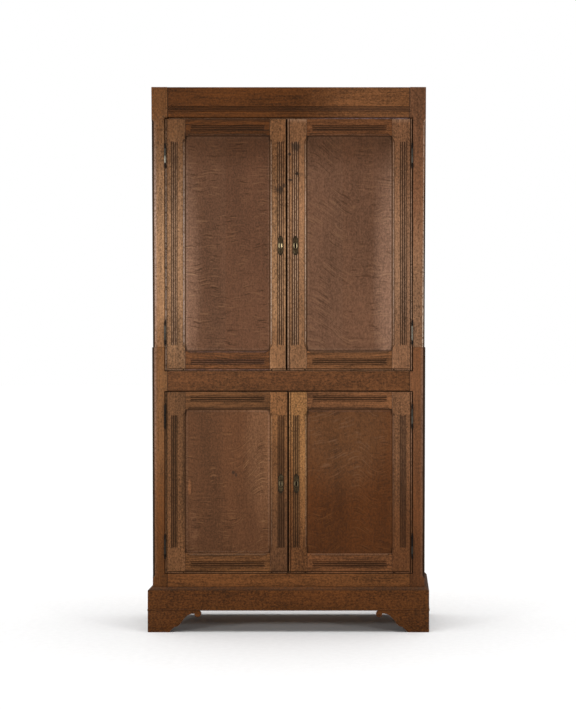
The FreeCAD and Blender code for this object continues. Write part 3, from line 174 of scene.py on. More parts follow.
def board_skin(size, marks, steps, edge, to_world, depth=untouched, hollow=untouched,
               rub_and_sheen=untouched, wear=0.6, grime=(0.0, 0.0, 0.0)):
    """A board of a width, length and thickness, as rings carried along its length. The front of a
    ring follows depth(a, b), the back is flat with chamfered corners, and near both ends the ring
    draws in by a quarter round. Its two long arrises are worn, on a bell curve of the distance
    from them. marks and steps give the places across and along it that are sampled; the last
    argument darkens the first side, the second side and both ends: dirt in the joints, and painted
    shade in the gaps beside the doors' edges and under the rails."""
    width, length, thick = size
    joint = [1.0, 2.0] if grime[2] else []
    columns = np.unique(np.concatenate([stations(width, marks[0], steps[0]),
                                        *mirrored([1.2, 2.4, 3.6], width)]))
    rows = np.unique(np.concatenate([stations(length, marks[1], steps[1]),
                                     *mirrored(eased(edge), length), *mirrored(joint, length)]))
    a, b = np.meshgrid(columns, rows)
    front = np.maximum(depth(a, b), round_over(np.minimum(a, width - a), edge))
    inset = round_over(np.minimum(rows, length - rows), edge)[:, None]
    back = np.ones((len(rows), 4))
    ring_a = np.hstack([a, back * (width, width - edge, edge, 0.0)])
    ring_c = np.hstack([front, back * (thick - edge, thick, thick, thick - edge)])
    place = to_world(np.clip(ring_a, inset, width - inset), rows[:, None] + 0 * ring_a,
                     np.clip(ring_c, inset, thick - inset))
    # the hollow values hold settled dirt and painted shade
    dirt = hollow(a, b)
    for amount, away in zip(grime, (a, width - a, np.minimum(b, length - b))):
        dirt = np.maximum(dirt, amount * np.clip(2.0 - away, 0, 1))
    worn = wear * bell(np.minimum(a, width - a), 1.1) * (1 - dirt)
    return {"points": np.stack(place, axis=-1),
            "hollow": np.hstack([dirt, back * max(grime[:2])]),
            "rub_and_sheen": np.hstack([np.maximum(rub_and_sheen(a, b), worn), back * 0])}


def plain_board(x_pair, y_pair, z_pair, grain, edge=1.0):
    """An eased board between two corners, with its grain along x, y or z. Its face is one of the
    two larger sides."""
    low, high = np.array([x_pair, y_pair, z_pair], float).T
    size = high - low
    along = "xyz".index(grain)
    across, into = sorted([axis for axis in range(3) if axis != along],
                          key=lambda axis: -size[axis])
    order = [across, along, into]

    def to_world(a, b, c):
        place = [None, None, None]
        for axis, distance in zip(order, (a, b, c)):
            place[axis] = distance + low[axis]
        return place

    return board_skin(size[order], (mirrored(eased(edge), size[across]), ()), (60, 60), edge,
                      to_world)


# ---- mouldings, as depths below a face ----
REED_DEPTH, REED_TOP = 2.9, 0.4         # floors of the quirks and crowns of the reeds
REED_PITCH, TOP_PITCH = 7.1, 6.7        # reeds of the doors and of the top rail
QUIRK, PLUNGE = 0.9, 4.5                # width of a quirk, length of the cutter's plunge
LIP = (4.4, 3.0)                        # bead and quirk round a door's hinge side and foot
LIP_DEPTH = 4.0
WALL = 0.03                             # a steep wall is drawn in by this


def reed_marks(middle, pitch=REED_PITCH):
    """Columns that show three reeds: nine across each round and both walls of each quirk."""
    half, out = (pitch - QUIRK) / 2, 1.5 * pitch
    across = np.append(half * np.sin(np.linspace(-1, 1, 9) * math.pi / 2),
                       [-half - WALL, half + WALL])
    walls = np.array([-out - WALL, -out, out, out + WALL])
    return [middle + walls] + [middle + number * pitch + across for number in (-1, 0, 1)]


def reeds(a, b, middle, start, stop, pitch=REED_PITCH):
    """Three round reeds between quirks: circular arcs across the band. The cutter plunges in and
    out on a quarter round, and each reed ends a little apart from the next."""
    offset = a - middle
    inside = np.abs(offset) < 1.5 * pitch + 0.01
    number = np.clip(np.floor(offset / pitch + 1.5), 0, 2)
    local = offset - (number - 1) * pitch
    half, rise = (pitch - QUIRK) / 2, REED_DEPTH - REED_TOP
    radius = (half ** 2 + rise ** 2) / (2 * rise)
    round_top = REED_TOP + radius - np.sqrt(np.maximum(radius ** 2 - local ** 2, 0))
    profile = np.where(np.abs(local) > half, REED_DEPTH, np.minimum(round_top, REED_DEPTH))
    ragged = 1.2 * np.sin(number * 2.3 + middle)
    run = np.clip(np.minimum(b - start + ragged, stop - b + ragged * 0.6) / PLUNGE, 0, 1)
    return np.where(inside, profile * np.sqrt(1 - (1 - run) ** 2), 0.0)


def reed_dirt_and_shade(depth, all_over):
    """Darkening in a band of reeds: a share all over it, and dirt and painted shade thickening down
    the flanks of the rounds into the quirks.
    """
    return np.maximum(all_over, np.clip((depth - 0.55) / 0.45, 0, 1)) * (depth > REED_TOP - 0.01)


def reed_crown_highlight(depth):
    """Painted highlights on the crowns of the reeds."""
    return 0.55 * np.clip((0.75 - depth) / 0.3, 0, 1) * (depth > REED_TOP - 0.01)


class Chamfer:
    """A chamfer of 45 degrees between two places along an arris, which runs out in a hollow arc
    at both ends."""

    def __init__(self, start, stop, size=6.5, run=15.0):
        self.start, self.stop, self.run, self.flat = start, stop, run, size / math.sqrt(2)

    def reach(self, b):
        """Its width, which grows along the arc and then stays."""
        radius = (self.run ** 2 + self.flat ** 2) / (2 * self.flat)
        near = np.clip(np.minimum(b - self.start, self.stop - b), 0, self.run)
        return math.sqrt(2) * (self.flat - radius
                               + np.sqrt(radius ** 2 - (self.run - near) ** 2))

    def depth(self, distance, b):
        """Its depth at a distance from the arris."""
        return np.clip(self.reach(b) - distance, 0, None)

    def rows(self):
        """Rows that follow the hollow ends."""
        arc = self.run * np.linspace(0, 1, 9) ** 1.4
        return [self.start + arc, self.stop - arc]

    def ends(self, b, low):
        """How near a place is to the run-outs: a bell curve round each, the lower one by a
        share."""
        return np.maximum(bell(b - self.stop + 6.0, 8.0), low * bell(b - self.start - 6.0, 8.0))


def bead_marks(width, quirk):
    """Distances from an edge that show a half-round bead and its quirk."""
    around = width / 2 * (1 - np.cos(np.linspace(0, math.pi, 9)))
    return [around, np.array([width + WALL, width + quirk - WALL, width + quirk])]


def bead(distance, width, quirk):
    """A half-round bead along an edge with a square quirk beside it."""
    half = width / 2
    arc = REED_TOP + half - np.sqrt(np.maximum(half ** 2 - (distance - half) ** 2, 0))
    inside = np.where(distance <= width + 0.01, arc, LIP_DEPTH)
    return np.where(distance < width + quirk - 0.01, inside, 0.0)


# ---- shader building ----
WHITE = (1, 1, 1, 1)
# dirt, and painted shade in hollows, gaps and quirks
DIRT_AND_SHADE = (0.014, 0.0052, 0.0018, 1)
STAIN = (0.016, 0.0095, 0.0065, 1)      # knots and the lines between boards
SILVER = (0.5, 0.33, 0.13, 1)           # the pale side of the ray flecks
BARE_AND_SHEEN = (0.46, 0.34, 0.25, 1)            # rubbed arrises, and painted highlights


def add(tree, kind, values=None, **settings):
    """One shader node. values maps an input's name or number to a value or to a socket."""
    node = tree.nodes.new("ShaderNode" + kind)
    for name, value in settings.items():
        setattr(node, name, value)
    for key, value in (values or {}).items():
        if isinstance(value, bpy.types.NodeSocket):
            tree.links.new(value, node.inputs[key])
        else:
            node.inputs[key].default_value = value
    return node


def calc(tree, operation, *values, clamp=False):
    """The result of a Math node."""
    node = add(tree, "Math", dict(enumerate(values)), operation=operation, use_clamp=clamp)
    return node.outputs[0]


def move(tree, operation, *values, output=0):
    """The result of a Vector Math node."""
    return add(tree, "VectorMath", dict(enumerate(values)), operation=operation).outputs[output]


def mixed(tree, share, first, second, blend="MIX"):
    """Two colours mixed by a share."""
    return add(tree, "Mix", {0: share, 6: first, 7: second}, data_type="RGBA",
               blend_type=blend).outputs[2]


def ramp(tree, value, low, high, low_out=0.0, high_out=1.0):
    """The value carried smoothly from one range to another."""
    return add(tree, "MapRange", {"Value": value, "From Min": low, "From Max": high,
                                  "To Min": low_out, "To Max": high_out},
               interpolation_type="SMOOTHSTEP").outputs[0]


def noise(tree, vector, scale, detail, rough=0.5, twist=0.0):
    """Values of a noise texture, scaled alike or in each direction by itself."""
    if isinstance(scale, tuple):
        vector, scale = move(tree, "MULTIPLY", vector, scale), 1.0
    return add(tree, "TexNoise", {"Vector": vector, "Scale": scale, "Detail": detail,
                                  "Roughness": rough, "Distortion": twist}).outputs[0]


def mark(tree, name):
    """A piece's own hollow or rub value."""
    return add(tree, "Attribute", attribute_name=name).outputs["Fac"]


def new_group(name, inputs, outputs):
    """A shader node group with named inputs, as {name: (kind, value)}, and outputs, as {name:
    kind}. Returns the group, its inputs by name and its output node."""
    group = bpy.data.node_groups.new(name, "ShaderNodeTree")
    for label, (kind, value) in inputs.items():
        socket = group.interface.new_socket(label, in_out="INPUT", socket_type="NodeSocket" + kind)
        if value is not None:
            socket.default_value = value
    for label, kind in outputs.items():
        group.interface.new_socket(label, in_out="OUTPUT", socket_type="NodeSocket" + kind)
    entry = group.nodes.new("NodeGroupInput")
    leave = group.nodes.new("NodeGroupOutput")
    return group, entry.outputs, leave.inputs


def oak_group():
    """Oak with its grain along the vector's Z: soft growth bands, a fine mottle, short dark pores,
    wavy ray flecks, dirt and painted shade in the hollows, and rubbed arrises with painted
    highlights."""
    amounts = {"Bands": 0.5, "Wander": 0.05, "Mottle": 0.5, "Pores": 0.5, "Flecks": 0.2,
               "Lift": 0.0, "Hollow": 0.0, "Rub and sheen": 0.0, "Gloss": 0.5}
    group, given, out = new_group("oak", {
        "Vector": ("Vector", None), "Pale": ("Color", (0.3, 0.16, 0.08, 1)),
        "Dark": ("Color", (0.12, 0.06, 0.03, 1)), "Dirt and shade": ("Color", DIRT_AND_SHADE),
        **{name: ("Float", value) for name, value in amounts.items()}},
        {"Color": "Color", "Roughness": "Float", "Height": "Float"})
    place = given["Vector"]

    def times(first, second):
        return calc(group, "MULTIPLY", first, second)

    def from_middle(value, share, more):
        value = calc(group, "SUBTRACT", value, 0.5)
        return calc(group, "MULTIPLY_ADD", value, share, more)

    drift = add(group, "TexNoise", {"Vector": move(group, "MULTIPLY", place, (2.2, 2.2, 1.1)),
                                    "Scale": 1.0, "Detail": 2.0}).outputs[1]
    drift = move(group, "SUBTRACT", drift, (0.5, 0.5, 0.5))
    bend = add(group, "VectorMath", {0: move(group, "MULTIPLY", drift, (1, 1, 0)),
                                     "Scale": given["Wander"]}, operation="SCALE").outputs[0]
    bent = move(group, "ADD", bend, place)
    bands = noise(group, bent, (70, 70, 1.9), 5, 0.62)
    broad = noise(group, bent, (9, 9, 2.4), 3)
    fibres = noise(group, bent, (260, 260, 9), 4, 0.7)
    mottle = noise(group, place, (170, 170, 125), 3, 0.75)
    pores = ramp(group, noise(group, bent, (620, 620, 60), 2), 0.55, 0.68)
    swing = calc(group, "MULTIPLY_ADD", noise(group, place, (11, 11, 6), 2), 0.045, given["Lift"])
    swung = move(group, "ADD", bent, add(group, "CombineXYZ", {2: swing}).outputs[0])
    wave = noise(group, swung, (17, 17, 200), 2, 0.5, 0.2)
    patches = times(ramp(group, noise(group, place, (14, 14, 9), 3), 0.4, 0.56), given["Flecks"])
    fleck = times(ramp(group, wave, 0.58, 0.68), patches)
    silver = times(ramp(group, wave, 0.43, 0.34), patches)
    tone = from_middle(bands, given["Bands"], 0.5)
    tone = from_middle(broad, 1.2, tone)
    spots = times(calc(group, "SUBTRACT", mottle, 0.5), given["Mottle"])
    tone = calc(group, "ADD", tone, times(spots, 4.0))
    threads = times(calc(group, "SUBTRACT", fibres, 0.5), given["Bands"])
    tone = calc(group, "ADD", tone, times(threads, 2.0), clamp=True)
    colour = mixed(group, tone, given["Dark"], given["Pale"])
    colour = mixed(group, times(pores, given["Pores"]), colour, given["Dirt and shade"])
    colour = mixed(group, times(fleck, 0.7), colour, given["Dirt and shade"])
    colour = mixed(group, times(silver, 0.7), colour, mixed(group, 0.05, given["Pale"], SILVER))
    # rub paints wear and painted highlights towards the pale bare colour
    worn = times(times(given["Rub and sheen"], ramp(group, mottle, 0.3, 0.62)), 0.5)
    colour = mixed(group, worn, colour, mixed(group, 0.5, given["Pale"], BARE_AND_SHEEN))
    # the hollow value paints settled dirt and painted shade
    colour = mixed(group, times(given["Hollow"], 0.86), colour, given["Dirt and shade"])
    shine = from_middle(mottle, 0.3, given["Gloss"])
    shine = calc(group, "MULTIPLY_ADD", pores, 0.12, shine)
    shine = calc(group, "MULTIPLY_ADD", given["Hollow"], 0.25, shine)
    shine = calc(group, "MULTIPLY_ADD", fleck, -0.1, shine, clamp=True)
    height = calc(group, "MULTIPLY_ADD", pores, -0.6, times(fibres, 0.5))
    height = calc(group, "MULTIPLY_ADD", mottle, 0.35, height)
    for label, value in (("Color", colour), ("Roughness", shine), ("Height", height)):
        group.links.new(value, out[label])
    return group


def spot_group():
    """A soft-edged oval spot at a place on the X-Z plane: one less the distance from its middle
    over its half width and half height, made ragged by noise."""
    group, given, out = new_group("spot", {
        "Vector": ("Vector", None), "Middle": ("Vector", None), "Half size": ("Vector", None),
        "Ragged": ("Float", 0.3)}, {"Mask": "Float"})
    away = move(group, "SUBTRACT", given["Vector"], given["Middle"])
    share = move(group, "DIVIDE", move(group, "MULTIPLY", away, (1, 0, 1)), given["Half size"])
    distance = move(group, "LENGTH", share, output=1)
    wobble = calc(group, "SUBTRACT", noise(group, given["Vector"], (150, 150, 70), 3), 0.5)
    wobble = calc(group, "MULTIPLY", wobble, given["Ragged"])
    group.links.new(ramp(group, calc(group, "ADD", distance, wobble), 1.0, 0.35), out["Mask"])
    return group


OAK = oak_group()
SPOT = spot_group()


def linear(colour):
    """A colour given as screen values from 0 to 255, as the shader's linear values."""
    share = np.array(colour) / 255
    values = np.where(share <= 0.04045, share / 12.92, ((share + 0.055) / 1.055) ** 2.4)
    return (*values.tolist(), 1.0)


def new_material(name):
    """An empty node material and its Principled shader."""
    material = bpy.data.materials.new(name)
    material.use_nodes = True
    tree = material.node_tree
    tree.nodes.clear()
    shader = add(tree, "BsdfPrincipled")
    leave = add(tree, "OutputMaterial")
    tree.links.new(shader.outputs[0], leave.inputs[0])
    return material, tree, shader


def finish_surface(tree, shader, colour, rough, height, strength, distance):
    """Lead colour, roughness and relief to the shader."""
    tree.links.new(colour, shader.inputs["Base Color"])
    tree.links.new(rough, shader.inputs["Roughness"])
    bump = add(tree, "Bump", {"Height": height, "Strength": strength, "Distance": distance})
    tree.links.new(bump.outputs[0], shader.inputs["Normal"])


TURN = {"z": (0, 0, 0), "x": (0, math.pi / 2, 0), "y": (math.pi / 2, 0, 0)}


def oak(name, tone, grain="z", bands=0.9, mottle=0.5, pores=0.35, flecks=0.1, gloss=0.46,
        contrast=1.0, shift=0.0, wander=0.05, spots=(), glow=(), joints=(), fan=()):
    """An oak finish. tone is its mean colour on the screen; grain is the direction of the fibres;
    spots are knots and stains as (x, z, half width, half height, strength); the list after spots
    gives places painted lighter or darker as painted light and shade, for the fall of the lamps'
    light over the piece and for sheen, as (x, z, half width, half height, colour ratios); joints
    lists the edges of the boards as (x, colour ratios of the board to the right, darkness of the
    line); fan slants the ray flecks down to the right, as (from x, to x, fall), or up where the
    fall is less than nothing."""
    material, tree, shader = new_material("oak_" + name)
    place = add(tree, "TexCoord").outputs["Object"]
    laid = add(tree, "Mapping", {"Vector": place, "Location": (shift, shift * 0.7, shift * 1.9),
                                 "Rotation": TURN[grain]}).outputs[0]
    middle = np.array(linear(tone)[:3])
    hollow, rub_and_sheen = mark(tree, "hollow"), mark(tree, "rub_and_sheen")
    across = add(tree, "SeparateXYZ", {"Vector": place}).outputs[0]
    lift = 0.0
    for x0, x1, fall in fan:
        lift = calc(tree, "ADD", ramp(tree, across, x0 * MM, x1 * MM, 0.0, fall * MM), lift)
    wood = add(tree, "Group", {
        "Vector": laid, "Pale": (*np.clip(middle * (1 + 0.75 * contrast), 0, 1), 1.0),
        "Dark": (*middle * (1 - 0.6 * contrast), 1.0), "Bands": bands, "Wander": wander,
        "Mottle": mottle, "Pores": pores, "Flecks": flecks, "Lift": lift, "Hollow": hollow,
        "Rub and sheen": rub_and_sheen, "Gloss": gloss}, node_tree=OAK).outputs
    colour = wood["Color"]

    def spot(x, z, half_x, half_z, ragged):
        return add(tree, "Group", {"Vector": place, "Middle": (x * MM, 0, z * MM),
                                   "Half size": (half_x * MM, 1, half_z * MM),
                                   "Ragged": ragged}, node_tree=SPOT).outputs[0]

    def tinted(share, ratios):
        gain = mixed(tree, share, WHITE, (*ratios, 1))
        return mixed(tree, 1.0, colour, gain, "MULTIPLY")

    for x, ratios, line in joints:
        colour = tinted(ramp(tree, across, (x - 1) * MM, (x + 1) * MM), ratios)
        away = calc(tree, "ABSOLUTE", calc(tree, "SUBTRACT", across, x * MM))
        colour = mixed(tree, ramp(tree, away, 1.8 * MM, 0.7 * MM, 0.0, line), colour, STAIN)
    # painted light and shade: each oval tints the wood lighter or darker
    for *oval, ratios in glow:
        colour = tinted(spot(*oval, 0.35), ratios)
    for *oval, strength in spots:
        colour = mixed(tree, calc(tree, "MULTIPLY", spot(*oval, 1.3), strength), colour, STAIN)
    finish_surface(tree, shader, colour, wood["Roughness"], wood["Height"], 0.35, 0.0006)
    shader.inputs["Specular IOR Level"].default_value = 0.2
    shader.inputs["Specular Tint"].default_value = (1.0, 0.72, 0.5, 1)
    return material


def metal(name, tone, worn_tone, rough, worn_share):
    """An old metal: a dark skin with a fine tarnish, rubbed bright in uneven patches."""
    material, tree, shader = new_material(name)
    place = add(tree, "TexCoord").outputs["Object"]
    tarnish = noise(tree, place, 900.0, 4.0, 0.6)
    bright = ramp(tree, noise(tree, place, 60.0, 3.0, 0.6), 0.5, 0.72, 0.0, worn_share)
    # The rub value paints the hinge barrels and the plates' ring flanks lighter: painted highlights.
    bright = calc(tree, "MAXIMUM", bright, calc(tree, "MULTIPLY", mark(tree, "rub_and_sheen"), 0.8))
    hollow = mark(tree, "hollow")
    dull = mixed(tree, tarnish, (*(0.55 * value for value in linear(tone)[:3]), 1), linear(tone))
    colour = mixed(tree, bright, dull, linear(worn_tone))
    # The hollow value paints patina in the plates' hollows, darkens the hinge finials, and paints
    # shade in the keyholes.
    colour = mixed(tree, calc(tree, "MULTIPLY", hollow, 0.9), colour, (0.004, 0.003, 0.002, 1))
    shine = calc(tree, "MULTIPLY_ADD", tarnish, 0.25, rough - 0.1)
    shine = calc(tree, "MULTIPLY_ADD", bright, -0.14, shine, clamp=True)
    finish_surface(tree, shader, colour, shine, tarnish, 0.4, 0.0003)
    shader.inputs["Metallic"].default_value = 0.85
    return material


# ---- finishes ----
post_oak = partial(oak, bands=0.5)
panel_oak = partial(oak, bands=0.3, mottle=0.65, pores=0.3, contrast=0.6, gloss=0.42)
inner_oak = partial(oak, mottle=0.3, gloss=0.62, contrast=0.8)
# The wide ovals of painted light and shade paint how the lamps' light falls off over each piece; the
# narrow ones paint sheen and shade near the edges.
POST = {
    "upper_left": post_oak("post_upper_left", (82, 50, 25), shift=0.3, mottle=0.62,
        glow=[(0, 1420, 900, 620, (2.65, 3.78, 6.20))]),
    "upper_right": post_oak("post_upper_right", (89, 57, 37), shift=1.1, mottle=0.55,
        glow=[(0, 1190, 900, 560, (1.58, 1.98, 2.28))]),
    "lower_left": post_oak("post_lower_left", (84, 48, 20), shift=2.3,
        glow=[(0, 860, 900, 560, (1.29, 1.69, 2.62))]),
    "lower_right": post_oak("post_lower_right", (81, 46, 23), shift=3.4,
        glow=[(0, 860, 900, 560, (1.03, 1.23, 1.60))]),
}
RAIL = {
    "top": oak("rail_top", (69, 36, 11), "x", shift=0.5, bands=0.8, spots=[(-164, 1983, 3, 3, 0.7),
        (-104, 1960, 3, 3, 0.6), (92, 1985, 3, 3, 0.7), (214, 1984, 3, 3, 0.6)],
        glow=[(420, 1950, 420, 300, (1.99, 2.56, 4.63))]),
    "middle": oak("rail_middle", (72, 42, 21), "x", shift=1.7, mottle=0.75, bands=0.4, flecks=0.3),
    "lower": oak("rail_lower", (90, 53, 25), "x", shift=2.6, mottle=0.65),
}
STILE = {
    "upper_left_hinge": oak("stile_a", (80, 51, 29), shift=4.1, mottle=0.6, bands=0.5,
        glow=[(0, 1330, 900, 640, (2.26, 2.92, 3.99))]),
    "upper_left_meeting": oak("stile_b", (99, 65, 39), shift=4.9, mottle=0.6, bands=0.55,
        spots=[(-31, 1622, 17, 20, 0.85), (-18, 1638, 10, 13, 0.8), (-53, 1628, 16, 20, 0.3),
        (-34, 1770, 3, 8, 0.3)], glow=[(0, 1230, 900, 560, (1.48, 1.78, 2.16)),
        (-38, 1040, 60, 140, (0.7, 0.64, 0.6))]),
    "upper_right_meeting": oak("stile_c", (88, 58, 36), shift=5.6, mottle=0.6, bands=0.55,
        spots=[(25, 1781, 20, 20, 0.75), (34, 1775, 22, 32, 0.25), (31, 1682, 10, 9, 1.0),
        (45, 1680, 14, 11, 0.4), (4, 1754, 8, 10, 0.9), (6, 1659, 11, 6, 0.9)],
        glow=[(0, 1330, 900, 520, (1.63, 1.85, 2.10)), (45, 1120, 60, 200, (0.76, 0.74, 0.72))]),
    "upper_right_hinge": oak("stile_d", (100, 66, 43), shift=6.2, mottle=0.6, bands=0.5,
        glow=[(0, 1300, 900, 600, (1.21, 1.46, 1.78)), (412, 1060, 60, 170, (0.78, 0.75, 0.72))]),
    "lower_left_hinge": oak("stile_e", (95, 62, 37), shift=7.3, mottle=0.8, bands=0.5,
        glow=[(0, 830, 900, 560, (0.53, 0.54, 0.54)), (-412, 750, 60, 260, (1.22, 1.22, 1.25))]),
    "lower_left_meeting": oak("stile_f", (73, 46, 27), shift=8.1, mottle=0.78, bands=0.55,
        glow=[(0, 850, 900, 480, (1.80, 1.84, 1.65)), (-40, 640, 60, 100, (0.72, 0.7, 0.7))]),
    "lower_right_meeting": oak("stile_g", (89, 54, 28), shift=9.4, mottle=0.78, bands=0.55,
        glow=[(0, 830, 900, 560, (1.68, 2.07, 2.26)), (45, 520, 60, 100, (0.8, 0.78, 0.76)),
        (7, 500, 17, 300, (0.6, 0.52, 0.47))]),
    "lower_right_hinge": oak("stile_h", (77, 45, 23), shift=10.2, mottle=0.66, bands=0.5,
        glow=[(0, 850, 900, 560, (1.74, 2.18, 2.98))]),
}
DOOR_RAIL = {
    "upper_left": oak("door_rail_a", (62, 32, 10), "x", shift=3.3, bands=1.7, wander=0.16,
        mottle=0.6, glow=[(-225, 1000, 420, 300, (1.53, 1.82, 2.89))]),
    "upper_right": oak("door_rail_b", (80, 47, 25), "x", shift=4.4, bands=1.2, wander=0.08,
        glow=[(225, 1000, 420, 300, (1.11, 1.24, 1.34))]),
    "lower_left": oak("door_rail_c", (74, 46, 25), "x", shift=5.5, bands=1.3, wander=0.1,
        glow=[(-225, 255, 420, 300, (1.54, 1.50, 1.38))]),
    "lower_right": oak("door_rail_d", (88, 55, 32), "x", shift=6.6, bands=1.1,
        glow=[(225, 255, 420, 300, (1.20, 1.12, 1.01))]),
}
PANEL = {
    "upper_left": panel_oak("panel_a", (75, 49, 34), shift=0.9, flecks=1.0,
        joints=[(-232, (0.97, 0.93, 0.9), 0.0)], glow=[(-392, 1300, 85, 560, (1.87, 2.17, 2.53)),
        (-225, 1840, 420, 170, (0.66, 0.6, 0.52))]),
    "upper_right": panel_oak("panel_b", (81, 55, 40), shift=2.1, flecks=0.7, fan=[(70, 240, 95)],
        joints=[(198, (1.0, 0.97, 0.94), 0.0), (312, (0.93, 0.95, 0.98), 0.0)],
        glow=[(388, 1300, 95, 560, (1.88, 2.15, 2.44)), (225, 1840, 420, 170, (0.66, 0.6, 0.52))]),
    "lower_left": panel_oak("panel_c", (76, 47, 28), shift=3.9, flecks=1.0, fan=[(-210, -90, -90)],
        spots=[(-204, 585, 8, 11, 0.8), (-194, 574, 6, 10, 0.8)],
        joints=[(-241, (1.08, 1.06, 1.04), 0.0)], glow=[(-90, 700, 90, 400, (1.52, 1.71, 1.91)),
        (-365, 528, 8, 36, (2.0, 1.95, 1.8)), (-352, 378, 24, 100, (1.25, 1.3, 1.4))]),
    "lower_right": panel_oak("panel_d", (68, 34, 9), shift=5.2, flecks=0.62, fan=[(110, 250, -60),
        (250, 330, 45)], glow=[(200, 760, 260, 330, (1.17, 1.60, 3.14))]),
}
PLINTH = {"x": oak("plinth_x", (77, 42, 15), "x", shift=1.3, bands=0.4, mottle=0.95, flecks=0.3),
          "y": oak("plinth_y", (80, 44, 15), "y", shift=2.9, bands=0.5)}
SIDE = {
    "z": oak("side_z", (92, 60, 37), shift=7.7, bands=0.7, mottle=0.35),
    "y": oak("side_y", (90, 58, 36), "y", shift=8.8, bands=0.8, mottle=0.3),
    "panel": oak("side_panel", (86, 56, 36), shift=9.9, bands=0.6, mottle=0.3, flecks=0.25,
        contrast=0.8),
}
INSIDE = {axis: inner_oak("inside_" + axis, (142, 110, 80), axis, shift=11.0 + number, bands=0.8)
          for number, axis in enumerate("xy")}
BACK_HALF = span("back_boards")[1][0]
BACK = inner_oak("back_boards", (142, 110, 80), shift=14.0,
                 spots=[(-210, 1560, 9, 12, 0.8), (95, 640, 8, 11, 0.8), (310, 1330, 7, 9, 0.8)],
                 joints=[(BACK_HALF * (number * 0.4 - 1), (ratio,) * 3, 0.85)
                         for number, ratio in ((1, 1.25), (2, 0.72), (3, 1.3), (4, 0.8))])
HINGE_IRON = metal("hinge_iron", (15, 14, 12), (150, 145, 130), 0.5, 0.0)
LOCK_IRON = metal("lock_iron", (70, 68, 64), (140, 138, 132), 0.5, 0.4)
PLATE_BRONZE = metal("plate_bronze", (74, 57, 33), (232, 208, 160), 0.42, 0.12)


# ---- the front of the carcases ----
def front_post(tier, label):
    """A front post: its depth map is the door rebate and the stopped chamfer on its outer arris,
    and its width follows the lean of the outer face."""
    key = tier + "_" + label
    side, base = SIDES[label], BASE[tier]
    length = span(tier + "_post_" + label)[1][2] - base
    cut = Chamfer(*(z - base for z in POST_CHAMFER[tier]), size=7.0, run=14.0)
    rebates = {"lower": [(OPENINGS["upper"][0] - 1, SEAM + 1), OPENINGS["lower"]],
               "upper": [(SEAM - 1, OPENINGS["upper"][1])]}[tier]
    # On the upper right post the bright line on the chamfer is a painted highlight; on the others a
    # lighter line runs beside the chamfer.
    bright_post = key == "upper_right"
    bright, rubbed = (2.6, -0.6) if bright_post else (0.5, 2.4)

    def depth(a, b):
        deep = cut.depth(a, b)
        for low, high in rebates:
            inside = (a > POST_WIDE - REBATE) & (b + base > low) & (b + base < high)
            deep = np.where(inside, STOP, deep)
        return deep

    def rub_and_sheen(a, b):
        reach = cut.reach(b)
        return bright * bell(a - reach - rubbed, 1.2) * (reach > 0.3)

    # The chamfer is painted dark; on the right posts this is painted shade, where the chamfer turns
    # from the light, and on the upper right post it fades out towards the top.
    def hollow(a, b):
        reach = cut.reach(b)
        dark = 1.15 * np.clip((reach + rubbed - 0.8 - a) / 1.2, 0, 1) * (reach > 0.3)
        return dark * np.clip((1800 - base - b) / 200, 0.15, 1) if bright_post else dark

    def to_world(a, b, c):
        outer = np.interp(b + base, *OUTER[tier])
        x = side * (POST_INNER + (outer - POST_INNER) * (1 - a / POST_WIDE))
        return x, FRONT + c, base + b

    edge = 1.6
    columns = mirrored(eased(edge), POST_WIDE) + [np.linspace(0, 7.2, 9),
                                                  [POST_WIDE - REBATE, POST_WIDE - REBATE + WALL]]
    rows = cut.rows() + [np.array([low, low + 0.05, high - 0.05, high]) - base
                         for low, high in rebates]
    skin = board_skin((POST_WIDE, length, POST_DEEP), (columns, rows), (9, 20), edge, to_world,
                      depth, hollow, rub_and_sheen, wear=0.1)
    make_piece("post_" + key, [skin], "carcase", "post_oak", POST[key], tier + "_post_" + label)


